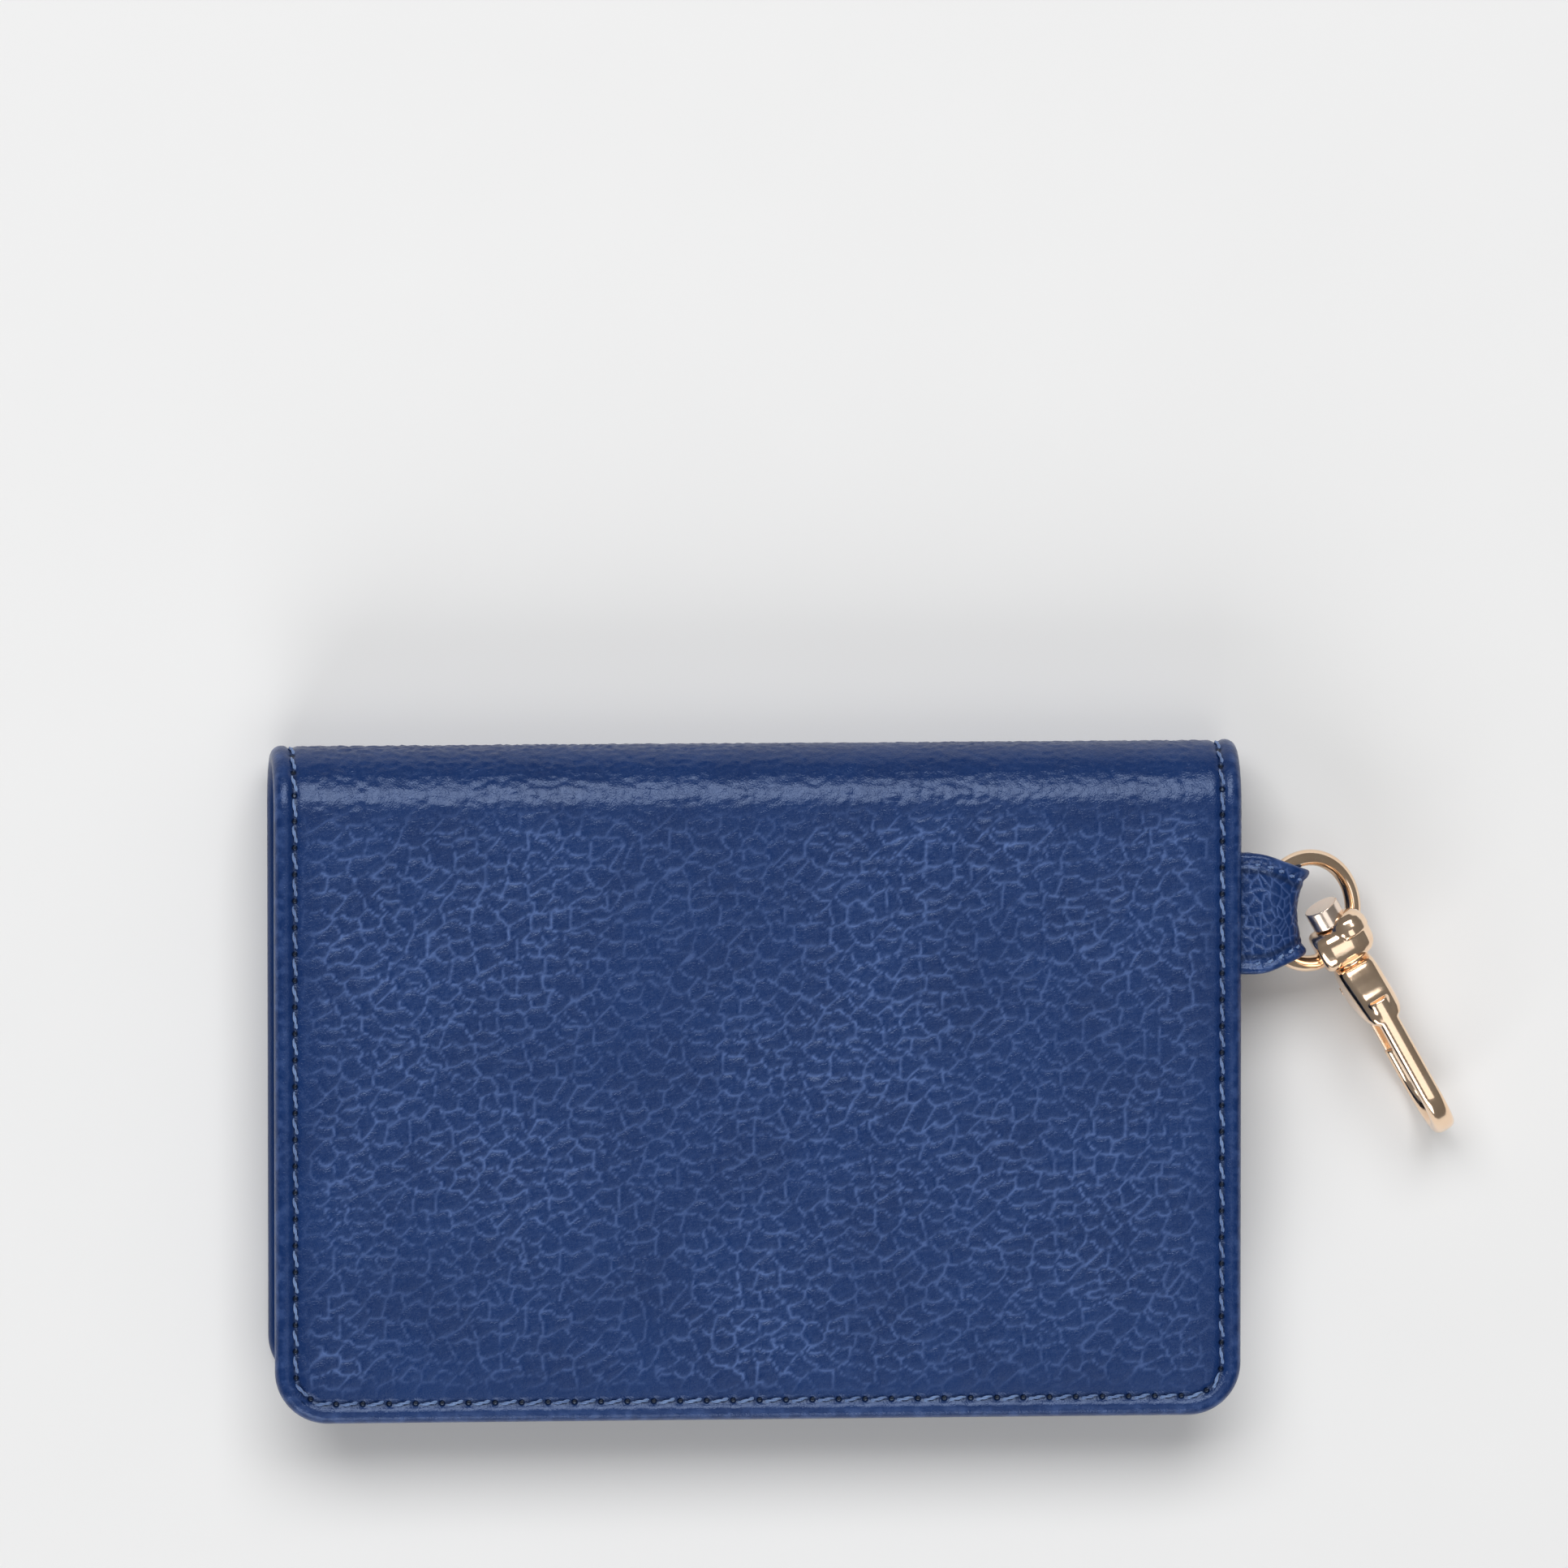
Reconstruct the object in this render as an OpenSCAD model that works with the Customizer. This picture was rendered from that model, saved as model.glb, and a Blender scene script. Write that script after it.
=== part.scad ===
// Bifold leather card holder with a ring tab, an O-ring and a swivel trigger clasp.
// It lies closed on its back half: +Z is up through the thickness, +Y points to the fold,
// +X points to the ring tab. The origin is on the resting face, in the middle of the holder.

/* [Holder] */
// Width along the fold
holder_w = 110; // [100:1:120]
// Depth from the fold to the free edge of the front half
holder_d = 76.5; // [72:0.5:84]
// Thickness when closed
holder_t = 14; // [13:0.5:16]
// Corner radius at the free edge
corner_r = 6; // [4:0.5:8]
// How much shorter the back half is at the free edge
back_short = 3; // [0:0.5:4]

/* [Leather] */
// Thickness of the outer leather
leather_t = 1.3; // [1:0.1:1.5]
// Thickness of a cover at its turned edge
edge_t = 2.4; // [2.2:0.1:2.6]
// Width of the turned edge
edge_w = 3.4; // [3:0.1:4]
// Thickness of the lining
lining_t = 0.5; // [0.3:0.1:0.6]

/* [Stitching] */
// Distance of the stitch line from the edge
stitch_inset = 2.3; // [2:0.1:2.6]
// Length of one stitch with its gap
stitch_pitch = 3; // [2.4:0.1:4]
// Thickness of the thread
thread_d = 0.44; // [0.3:0.02:0.5]

/* [Card slots] */
// Thickness of a pocket panel
panel_t = 0.7; // [0.5:0.1:0.7]
// Height left for the cards in one slot
card_gap = 0.8; // [0.6:0.1:0.8]
// Step from one slot mouth to the next
slot_step = 10; // [7:1:12]
// Width of the strips that close a slot at its sides
strip_w = 3; // [2.5:0.5:5]

/* [ID window] */
// Width of the clear window
window_w = 66; // [50:1:80]
// Height of the clear window
window_d = 41; // [30:1:44]

/* [Ring tab] */
// Position of the tab along the side
tab_y = 18.8; // [8:0.2:20]
// Width of the tab where it is sewn in
tab_root_w = 13.8; // [12:0.2:15]
// Width of the tab at its fold
tab_end_w = 9.2; // [8.8:0.1:9.3]
// How far the tab droops from level, in degrees
tab_droop = 20; // [10:1:24]

/* [O-ring] */
// Outer diameter
ring_od = 13.94; // [13.8:0.02:14.2]
// Wire diameter
ring_wire = 1.84; // [1.6:0.02:1.9]
// How far the ring droops from level, in degrees
ring_droop = 27; // [24:1:30]

/* [Clasp] */
// Width of the hook seen from its side
hook_w = 12.6; // [12:0.2:13]
// Length of the hook from the collar to the tip
hook_len = 24.6; // [23:0.1:26]
// Thickness of the shoulder
shoulder_t = 4.7; // [4.4:0.1:5]
// Thickness of the hook's arm
arm_t = 2.3; // [2.2:0.1:2.6]
// Radius of the rivet head
rivet_r = 2; // [1.8:0.1:2.2]

/* [Hidden] */
$fn = 48;

leather_colour = [0.10, 0.20, 0.42];
panel_colour = [0.12, 0.24, 0.48];
lining_colour = [0.30, 0.36, 0.50];
board_colour = [0.72, 0.66, 0.55];
thread_colour = [0.55, 0.63, 0.78];
window_colour = [0.85, 0.90, 0.95, 0.4];
gold_colour = [0.86, 0.72, 0.52];
steel_colour = [0.75, 0.75, 0.77];

tiny = 0.01;
fit_gap = 0.1;
half_w = holder_w / 2;
spine_r = holder_t / 2;
spine_y = holder_d / 2 - spine_r;
front_y = -holder_d / 2;
back_y = front_y + back_short;
board_t = edge_t - leather_t - lining_t;
// Half of the angle left open between the spine and a cover
spine_end = 44.6;

// Stitch line
stitch_x = half_w - stitch_inset;
stitch_corner_r = corner_r - stitch_inset;
groove_w = 1;
groove_d = 0.55;
thread_z = thread_d / 2 + 0.05;
// Straight stitches lie deeper where the leather curves
fold_thread_z = thread_z + 0.1;
cover_fold_angles = [-78, -57];
spine_fold_angles = [-30, -10, 10, 30];

// Slots
slot_rise = panel_t + card_gap;
panel_gap = 0.3;
panel_x = half_w - edge_w - panel_gap;
panel_y = back_y + edge_w + panel_gap;
upper_mouth_y = spine_y - 16;
panel_corner_r = 3;

// Front pockets
frame_t = 0.8;
film_t = 0.25;
film_lap = 3;
window_y = 2;
slip_gap = 0.6;
slip_mouth_y = -12;
front_mouth_y = spine_y - 6;
front_panel_y = front_y + edge_w + panel_gap;

// Ring tab, in its own frame: x runs out of the seam, z is up
tab_x = half_w + 1;
tab_z = holder_t - 2.6;
tab_knuckle_r = 0.95;
tab_leather_t = 0.65;
tab_len = 6.6;
tab_half_t = 2.4;
tab_fold_r = 2.2;
cavity_x = 0.95;
cavity_r = 0.5;
ring_seat_x = 2;
fold_leather_t = 0.6;
anchor_in = 6;
tab_full_x = 1.6;
tab_stitch_x = [2.4, 4.1];
tab_stitch_len = 1.3;
tab_row_inset = 1.2;

// O-ring
ring_r = (ring_od - ring_wire) / 2;
ring_seat = [
  tab_x + ring_seat_x * cos(tab_droop),
  tab_y,
  tab_z - ring_seat_x * sin(tab_droop)
];
ring_centre = ring_seat + ring_r * [cos(ring_droop), 0, -sin(ring_droop)];
eye_angle = -32;

// Clasp, in its own frame: x runs from the collar to the tip, z is the top of the hook
clasp_turn = 60;
clasp_tilt = 11.6;
clasp_roll = -1;
clasp_pos = [67.2, 14.4, 10.0];
neck_r = 2.1;
neck_len = 3.8;
hook_r = hook_w / 2;
arm_h = 2;
inner_r = hook_r - arm_h;
tip_x = hook_len - hook_r;
body_x = neck_len + 4.4;
mouth_r = 1.5;
collar_r = 2.95;
collar_len = 3.5;
collar_gap = 0.15;
post_r = 1.2;
post_bore_r = post_r + 0.06;
rivet_h = 2.3;
ball_r = 2.35;
ball_pos = [-2.5, 1.3, 1.2];
heel_r = 1.7;
heel_pos = [-1.9, 1.2, -2.7];
swivel_gap = 0.15;
lug_r = 2.1;
lug_bore_r = 1.35;
lug_span = 36;
gate_x = 14.6;
gate_pin_x = 5.6;
gate_pin_z = -4.2;
gate_pin_r = 0.5;
gate_t = 2.2;
gate_h = 1.7;
gate_knuckle_r = 1.15;
gate_knuckle_w = 1.2;
gate_slot_w = 2.8;
gate_side_gap = 0.1;
gate_end_gap = 0.15;
gate_end_slant = 0.3;
knuckle_room = gate_knuckle_r + 0.3;
bar_start = gate_pin_x + 1.7;
bar_z = 0.1 - hook_r;
spring_wire_r = 0.17;

// A solid whose outline is drawn in Y and Z and that runs along X, centred on the origin
module along_x(width) {
  translate([-width / 2, 0, 0]) rotate([90, 0, 90]) linear_extrude(width) children();
}

// A solid whose outline is drawn in X and Z and that runs along Y, centred on the origin
module along_y(width) {
  translate([0, width / 2, 0]) rotate([90, 0, 0]) linear_extrude(width) children();
}

// Part of a ring in a plane, between two angles less than 180 degrees apart
module arc_band(r_out, r_in, a0, a1) {
  reach = 3 * r_out;
  intersection() {
    difference() {
      circle(r_out);
      circle(r_in);
    }
    polygon([[0, 0], reach * [cos(a0), sin(a0)], reach * [cos((a0 + a1) / 2), sin((a0 + a1) / 2)],
      reach * [cos(a1), sin(a1)]]);
  }
}

// Flat outline with round corners at its low-Y end only
module sheet_outline(half_x, y0, y1, r) {
  translate([-half_x, y0 + r]) square([2 * half_x, y1 - y0 - r]);
  translate([-half_x + r, y0]) square([2 * half_x - 2 * r, r + tiny]);
  for (side = [-1, 1]) translate([side * (half_x - r), y0 + r]) circle(r);
}

// Turns a half that is drawn outer face down into the front half
module front_half() {
  translate([0, 0, holder_t]) mirror([0, 0, 1]) children();
}

// Stitches sit at the middle of each pitch, from start to end
function stitch_spots(start, end) =
  let (n = floor((end - start) / stitch_pitch))
  [for (i = [0:n - 1]) start + (end - start) * (i + 0.5) / n];

module stitch(angle = 0) {
  rotate([0, 0, angle]) rotate([0, 90, 0])
    cylinder(h = stitch_pitch - 0.8, d = thread_d, center = true, $fn = 16);
}

// Groove that the stitches of one half lie in
module stitch_groove(y0) {
  inner = stitch_corner_r - groove_w / 2;
  depth = groove_d + 1;
  translate([0, 0, -1]) {
    for (side = [-1, 1]) {
      translate([side * stitch_x - groove_w / 2, y0 + corner_r, 0])
        cube([groove_w, spine_y - y0 - corner_r + tiny, depth]);
      translate([side * (half_w - corner_r), y0 + corner_r, 0])
        linear_extrude(depth)
          arc_band(inner + groove_w, inner, side > 0 ? -90 : 180, side > 0 ? 0 : 270);
    }
    translate([-half_w + corner_r, y0 + stitch_inset - groove_w / 2, 0])
      cube([holder_w - 2 * corner_r, groove_w, depth]);
  }
}

// Stitches of one half: two sides, two corners and the free edge
module half_stitches(y0) {
  corner_spot = stitch_corner_r * cos(45);
  for (side = [-1, 1]) {
    for (y = stitch_spots(y0 + corner_r, spine_y)) translate([side * stitch_x, y, thread_z]) stitch(90);
    translate([side * (half_w - corner_r + corner_spot), y0 + corner_r - corner_spot, thread_z])
      stitch(side * 45);
  }
  for (x = stitch_spots(-half_w + corner_r, half_w - corner_r))
    translate([x, y0 + stitch_inset, thread_z]) stitch();
}

// Stitches that follow the fold, at angles measured from its middle
module fold_stitches(angles) {
  for (side = [-1, 1]) for (a = angles)
    translate([side * stitch_x, spine_y, spine_r]) rotate([a, 0, 0])
      translate([0, spine_r - fold_thread_z, 0]) rotate([0, 90, 0]) stitch();
}

module fold_groove(a0, a1) {
  for (side = [-1, 1]) translate([side * stitch_x, spine_y, spine_r])
    along_x(groove_w) arc_band(spine_r + 1, spine_r - groove_d, a0, a1);
}

// Outer leather of one half, with its turned edge and an eighth of the fold
module cover(y0) {
  difference() {
    union() {
      difference() {
        linear_extrude(edge_t) sheet_outline(half_w, y0, spine_y, corner_r);
        translate([0, 0, leather_t]) linear_extrude(edge_t)
          sheet_outline(half_w - edge_w, y0 + edge_w, spine_y + 1, corner_r - edge_w);
      }
      translate([0, spine_y, spine_r]) along_x(holder_w)
        arc_band(spine_r, spine_r - leather_t, -90, -90 + spine_end);
    }
    stitch_groove(y0);
    fold_groove(-90, -90 + spine_end);
  }
}

module board(y0) {
  margin = edge_w + fit_gap;
  translate([0, 0, leather_t]) linear_extrude(board_t)
    sheet_outline(half_w - margin, y0 + margin, spine_y - 2, corner_r - edge_w);
}

// Lining of one half: flat over the board, then down to the leather along the fold
module lining(y0) {
  margin = edge_w + fit_gap;
  step_y = spine_y - 1;
  lining_r = spine_r - leather_t;
  translate([0, 0, edge_t - lining_t]) linear_extrude(lining_t)
    sheet_outline(half_w - margin, y0 + margin, step_y, corner_r - edge_w);
  translate([-half_w + margin, step_y - tiny, leather_t])
    cube([holder_w - 2 * margin, spine_y - step_y + tiny, edge_t - leather_t]);
  translate([0, spine_y, spine_r]) along_x(holder_w - 2 * margin)
    arc_band(lining_r, lining_r - lining_t, -90 - tiny, -90 + spine_end);
}

// A pocket panel from the free edge up to its mouth
module pocket_panel(y0, mouth_y, z, t) {
  translate([0, 0, z]) linear_extrude(t) sheet_outline(panel_x, y0, mouth_y, panel_corner_r);
}

// Strips that space a panel off what is under it, at both sides and at the free edge
module pocket_strips(y0, mouth_y, z, t) {
  for (side = [-1, 1]) translate([side * (panel_x - strip_w / 2) - strip_w / 2, y0 + panel_corner_r, z])
    cube([strip_w, mouth_y - y0 - panel_corner_r, t]);
  translate([-panel_x + strip_w + fit_gap, y0, z])
    cube([2 * (panel_x - strip_w - fit_gap), strip_w, t]);
}

function slot_z(i) = edge_t + i * slot_rise;
function mouth(i) = upper_mouth_y - i * slot_step;

module back_cover() {
  color(leather_colour) cover(back_y);
}

module back_board() {
  color(board_colour) board(back_y);
}

module back_lining() {
  color(lining_colour) lining(back_y);
}

module back_stitching() {
  color(thread_colour) {
    half_stitches(back_y);
    fold_stitches(cover_fold_angles);
  }
}

module slot_strips(i) {
  color(lining_colour) pocket_strips(panel_y, mouth(i), slot_z(i), card_gap);
}

module slot_panel(i) {
  color(panel_colour) pocket_panel(panel_y, mouth(i), slot_z(i) + card_gap, panel_t);
}

module spine_cover() {
  color(leather_colour) difference() {
    translate([0, spine_y, spine_r]) along_x(holder_w)
      arc_band(spine_r, spine_r - leather_t, -spine_end, spine_end);
    fold_groove(-spine_end, spine_end);
  }
}

module spine_lining() {
  lining_r = spine_r - leather_t;
  color(lining_colour) translate([0, spine_y, spine_r])
    along_x(holder_w - 2 * (edge_w + fit_gap))
      arc_band(lining_r, lining_r - lining_t, -spine_end, spine_end);
}

module spine_stitching() {
  color(thread_colour) fold_stitches(spine_fold_angles);
}

module front_cover() {
  color(leather_colour) difference() {
    front_half() cover(front_y);
    translate([half_w - anchor_in - fit_gap, tab_y - tab_root_w / 2 - fit_gap, tab_z - tab_knuckle_r])
      cube([anchor_in + 1, tab_root_w + 2 * fit_gap, holder_t - leather_t - tab_z + tab_knuckle_r]);
  }
}

module front_board() {
  color(board_colour) difference() {
    front_half() board(front_y);
    translate([half_w - anchor_in - fit_gap, tab_y - tab_root_w / 2 - fit_gap, 0])
      cube([anchor_in + 1, tab_root_w + 2 * fit_gap, holder_t]);
  }
}

module front_lining() {
  color(lining_colour) front_half() lining(front_y);
}

module front_stitching() {
  color(thread_colour) front_half() {
    half_stitches(front_y);
    fold_stitches(cover_fold_angles);
  }
}

module window_strips() {
  color(lining_colour) front_half()
    pocket_strips(front_panel_y, front_mouth_y, edge_t, card_gap);
}

module window_opening(w, d, h) {
  translate([-w / 2, window_y - d / 2, -tiny]) cube([w, d, h]);
}

module window_frame() {
  color(panel_colour) front_half() difference() {
    pocket_panel(front_panel_y, front_mouth_y, edge_t + card_gap, frame_t);
    window_opening(window_w, window_d, holder_t);
  }
}

module id_window() {
  color(window_colour) front_half() translate([0, 0, edge_t + card_gap - film_t])
    window_opening(window_w + 2 * film_lap, window_d + 2 * film_lap, film_t);
}

module slip_strips() {
  color(lining_colour) front_half()
    pocket_strips(front_panel_y, slip_mouth_y, edge_t + card_gap + frame_t, slip_gap);
}

module slip_panel() {
  color(panel_colour) front_half()
    pocket_panel(front_panel_y, slip_mouth_y, edge_t + card_gap + frame_t + slip_gap, panel_t);
}

// The end of the tab strap that is sewn into the seam
module tab_anchor() {
  height = holder_t - leather_t - tab_z + tab_knuckle_r;
  color(leather_colour) difference() {
    translate([half_w - anchor_in, tab_y - tab_root_w / 2, tab_z - tab_knuckle_r])
      cube([anchor_in, tab_root_w, height]);
    translate([0, 0, holder_t - edge_t]) mirror([0, 0, 1])
      cube([half_w - edge_w + fit_gap, holder_d, edge_t]);
    front_half() translate([-half_w, -holder_d, edge_t - lining_t - fit_gap])
      cube([holder_w - edge_w + fit_gap, 2 * holder_d, edge_t]);
  }
}

module at_tab() {
  translate([tab_x, tab_y, tab_z]) rotate([0, tab_droop, 0]) children();
}

// Side view of a loop end: a rounded box from x0 to x1
module loop_outline(x0, x1, half_t, r) {
  translate([x0, -half_t]) square([x1 - x0 - r, 2 * half_t]);
  translate([x1 - r - tiny, -half_t + r]) square([r + tiny, 2 * half_t - 2 * r]);
  for (side = [-1, 1]) translate([x1 - r, side * (half_t - r)]) circle(r);
}

// Plan view of the tab, narrowing towards its fold
module tab_plan(grow = 0) {
  linear_extrude(4 * tab_half_t, center = true) polygon([
    [-1, -tab_root_w / 2 - grow], [1, -tab_root_w / 2 - grow],
    [tab_len - 2, -tab_end_w / 2 - grow], [tab_len + 1, -tab_end_w / 2 - grow],
    [tab_len + 1, tab_end_w / 2 + grow], [tab_len - 2, tab_end_w / 2 + grow],
    [1, tab_root_w / 2 + grow], [-1, tab_root_w / 2 + grow]
  ]);
}

module ring_tab() {
  cavity_half = tab_half_t - tab_leather_t;
  color(leather_colour) at_tab() intersection() {
    tab_plan();
    along_y(tab_root_w) difference() {
      union() {
        circle(tab_knuckle_r);
        polygon([[0, -tab_knuckle_r], [tab_full_x, -tab_half_t], [tab_full_x, tab_half_t],
          [0, tab_knuckle_r]]);
        loop_outline(tab_full_x - tiny, tab_len, tab_half_t, tab_fold_r);
      }
      loop_outline(cavity_x + 0.5, tab_len - fold_leather_t, cavity_half, cavity_r);
      polygon([[cavity_x, -0.9], [cavity_x + 0.6, -cavity_half], [cavity_x + 0.6, cavity_half],
        [cavity_x, 0.9]]);
    }
  }
}

// Two rows of stitches on the tab's upper side
module tab_stitching() {
  row_y = tab_end_w / 2 - tab_row_inset;
  color(thread_colour) at_tab()
    for (side = [-1, 1]) for (x = tab_stitch_x)
      translate([x, side * row_y, tab_half_t + thread_d / 2]) rotate([0, 90, 0])
        cylinder(h = tab_stitch_len, d = thread_d, center = true, $fn = 16);
}

module at_ring() {
  translate(ring_centre) rotate([0, ring_droop, 0]) children();
}

module o_ring() {
  color(gold_colour) at_ring() rotate_extrude($fn = 96) translate([ring_r, 0]) circle(ring_wire / 2);
}

module at_clasp() {
  translate(clasp_pos) rotate([clasp_roll, clasp_tilt, -clasp_turn]) children();
}

// A cylinder along the clasp's own length
module axle(r, x0, x1) {
  translate([x0, 0, 0]) rotate([0, 90, 0]) cylinder(r = r, h = x1 - x0);
}

module swivel_eye() {
  color(gold_colour) difference() {
    union() {
      at_clasp() {
        axle(collar_r, -collar_gap - collar_len, -collar_gap);
        translate(ball_pos) sphere(ball_r);
        translate(heel_pos) sphere(heel_r);
      }
      at_ring() rotate([0, 0, eye_angle - lug_span / 2]) rotate_extrude(angle = lug_span)
        translate([ring_r, 0]) circle(lug_r);
    }
    at_clasp() {
      axle(post_bore_r, -8, 1);
      axle(rivet_r + swivel_gap, -12, -collar_gap - collar_len);
      axle(neck_r + swivel_gap, -collar_gap, 6);
    }
    at_ring() rotate_extrude($fn = 96) translate([ring_r, 0]) circle(lug_bore_r);
  }
}

module swivel_rivet() {
  top = -collar_gap - collar_len;
  color(gold_colour) at_clasp() {
    axle(post_r, top - fit_gap, 0);
    axle(rivet_r, top - fit_gap - rivet_h, top - fit_gap);
  }
}

// Side view of the hook: neck, rounded body, arm and tip
module hook_outline() {
  difference() {
    union() {
      translate([0, -neck_r]) square([neck_len + 1, 2 * neck_r]);
      translate([neck_len + hook_r, 0]) circle(hook_r);
      translate([neck_len + hook_r, -hook_r]) square([tip_x - neck_len - hook_r, hook_w]);
      translate([tip_x, 0]) circle(hook_r);
    }
    translate([tip_x, 0]) circle(inner_r);
    translate([body_x + mouth_r, -inner_r]) square([tip_x - body_x - mouth_r, 2 * inner_r]);
    translate([body_x, -inner_r + mouth_r]) square([mouth_r + 0.5, 2 * (inner_r - mouth_r)]);
    for (side = [-1, 1]) translate([body_x + mouth_r, side * (inner_r - mouth_r)]) circle(mouth_r);
  }
}

module hook_body() {
  color(gold_colour) at_clasp() difference() {
    intersection() {
      along_y(shoulder_t) hook_outline();
      union() {
        axle(neck_r, 0, neck_len + 1);
        translate([neck_len - 1, -shoulder_t / 2, -hook_r])
          cube([body_x - neck_len + 1.4, shoulder_t, hook_w]);
        translate([neck_len - 1, -arm_t / 2, -hook_r]) cube([hook_len, arm_t, hook_w]);
      }
    }
    // room for the gate in the nose side and its knuckle in the body
    translate([gate_pin_x - knuckle_room, -gate_slot_w / 2, -hook_r - 1])
      cube([gate_x + gate_end_gap - gate_pin_x + knuckle_room, gate_slot_w,
        hook_r + 1 + gate_pin_z + knuckle_room]);
    translate([gate_pin_x, 0, gate_pin_z]) rotate([90, 0, 0])
      cylinder(r = gate_pin_r, h = 2 * shoulder_t, center = true);
  }
}

module gate_pin() {
  color(gold_colour) at_clasp() translate([gate_pin_x, 0, gate_pin_z]) rotate([90, 0, 0])
    cylinder(r = gate_pin_r, h = shoulder_t, center = true);
}

// Torsion spring on the pin, beside the gate's knuckle
module gate_spring() {
  side_y = -gate_slot_w / 2 + gate_side_gap + spring_wire_r;
  color(steel_colour) at_clasp() translate([gate_pin_x, 0, gate_pin_z]) {
    for (i = [0:2]) translate([0, side_y + 2 * i * (spring_wire_r + 0.005), 0]) rotate([90, 0, 0])
      rotate_extrude($fn = 32) translate([gate_pin_r + spring_wire_r + 0.08, 0]) circle(spring_wire_r, $fn = 16);
  }
}

module gate_lever() {
  knuckle_y = gate_slot_w / 2 - gate_side_gap - gate_knuckle_w;
  color(gold_colour) at_clasp() difference() {
    union() {
      translate([gate_pin_x, knuckle_y + gate_knuckle_w / 2, gate_pin_z]) rotate([90, 0, 0])
        cylinder(r = gate_knuckle_r, h = gate_knuckle_w, center = true);
      translate([gate_pin_x, knuckle_y, bar_z])
        cube([2, gate_knuckle_w, gate_h]);
      along_y(gate_t) polygon([[bar_start, bar_z], [gate_x - gate_end_slant, bar_z], [gate_x, bar_z + gate_h],
        [bar_start, bar_z + gate_h]]);
    }
    translate([gate_pin_x, 0, gate_pin_z]) rotate([90, 0, 0])
      cylinder(r = gate_pin_r + 0.04, h = 2 * shoulder_t, center = true);
  }
}

back_cover();
back_board();
back_lining();
back_stitching();
slot_strips(0);  // slot_strips_upper
slot_panel(0);  // slot_panel_upper
slot_strips(1);  // slot_strips_middle
slot_panel(1);  // slot_panel_middle
slot_strips(2);  // slot_strips_lower
slot_panel(2);  // slot_panel_lower
spine_cover();
spine_lining();
spine_stitching();
front_cover();
front_board();
front_lining();
front_stitching();
window_strips();
window_frame();
id_window();
slip_strips();
slip_panel();
tab_anchor();
ring_tab();
tab_stitching();
o_ring();
swivel_eye();
hook_body();
swivel_rivet();
gate_pin();
gate_spring();
gate_lever();
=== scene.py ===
"""Looks for the bifold leather card holder: leather, stitching, lining, pockets and hardware."""

import math

import bpy
import numpy as np
from mathutils import Matrix, Vector


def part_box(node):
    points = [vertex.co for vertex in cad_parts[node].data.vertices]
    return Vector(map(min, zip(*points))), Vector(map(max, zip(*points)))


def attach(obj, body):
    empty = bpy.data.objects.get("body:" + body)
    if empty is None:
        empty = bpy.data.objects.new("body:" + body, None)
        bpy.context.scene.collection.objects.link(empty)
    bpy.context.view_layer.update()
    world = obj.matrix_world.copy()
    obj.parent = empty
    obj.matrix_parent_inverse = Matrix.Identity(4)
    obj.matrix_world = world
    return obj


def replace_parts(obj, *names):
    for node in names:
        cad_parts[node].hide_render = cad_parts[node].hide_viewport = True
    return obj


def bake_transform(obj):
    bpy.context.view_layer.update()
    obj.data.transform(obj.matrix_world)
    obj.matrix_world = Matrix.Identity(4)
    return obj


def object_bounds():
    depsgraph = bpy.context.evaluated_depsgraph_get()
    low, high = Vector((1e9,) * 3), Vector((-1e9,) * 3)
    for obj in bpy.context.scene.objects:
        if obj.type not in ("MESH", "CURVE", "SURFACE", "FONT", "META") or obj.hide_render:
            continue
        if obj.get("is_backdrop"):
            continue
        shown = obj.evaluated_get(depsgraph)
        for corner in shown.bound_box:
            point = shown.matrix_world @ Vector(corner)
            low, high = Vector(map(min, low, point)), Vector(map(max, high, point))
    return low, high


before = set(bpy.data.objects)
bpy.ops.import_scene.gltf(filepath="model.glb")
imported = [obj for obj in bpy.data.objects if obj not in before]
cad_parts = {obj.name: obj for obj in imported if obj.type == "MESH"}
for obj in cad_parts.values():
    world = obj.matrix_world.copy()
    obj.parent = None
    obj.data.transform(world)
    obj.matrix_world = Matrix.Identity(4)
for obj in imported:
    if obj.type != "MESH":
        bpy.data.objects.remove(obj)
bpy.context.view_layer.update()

MM = 0.001


def node_box(node):
    """Lowest and highest corner of a CAD node, in millimetres."""
    lo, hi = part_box(node)
    return np.array(lo) / MM, np.array(hi) / MM


# Sizes in millimetres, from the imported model
COVER_LO, COVER_HI = node_box("front_cover")
BACK_LO, _ = node_box("back_cover")
HALF_W = COVER_HI[0]
HOLDER_T = COVER_HI[2]
SPINE_R = HOLDER_T / 2
SPINE_Y = node_box("spine_cover")[1][1] - SPINE_R

# The same values as in the CAD source
CORNER_R = 6.0
EDGE_T = 2.4
EDGE_W = 3.4
LEATHER_T = 1.3
STITCH_INSET = 2.3
STITCH_PITCH = 3.0
ROLL_R = EDGE_T / 2
PEBBLE = (2.7, 1.85)
PEBBLE_SEED = 11
PANEL_R = 3.0
STRIP_W = 3.0
FILM_LAP = 3.0
MOUTH_SEAM = 2.2
WINDOW_SEAM = 1.9


# ---- patterns


def hash01(i, j, seed):
    """Repeatable pseudo-random numbers from 0 to 1, one for each integer cell."""
    n = (i * 374761393 + j * 668265263 + seed * 974634777) & 0x7FFFFFFF
    n = ((n ^ (n >> 13)) * 1274126177) & 0x7FFFFFFF
    n = n ^ (n >> 16)
    return (n & 0xFFFF) / 65535.0


def smooth(t, a=0.0, b=1.0):
    t = np.clip((t - a) / (b - a), 0, 1)
    return t * t * (3 - 2 * t)


def bell(v, centre, width):
    """A ridge one unit high at the centre."""
    return np.exp(-(((v - centre) / width) ** 2))


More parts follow.
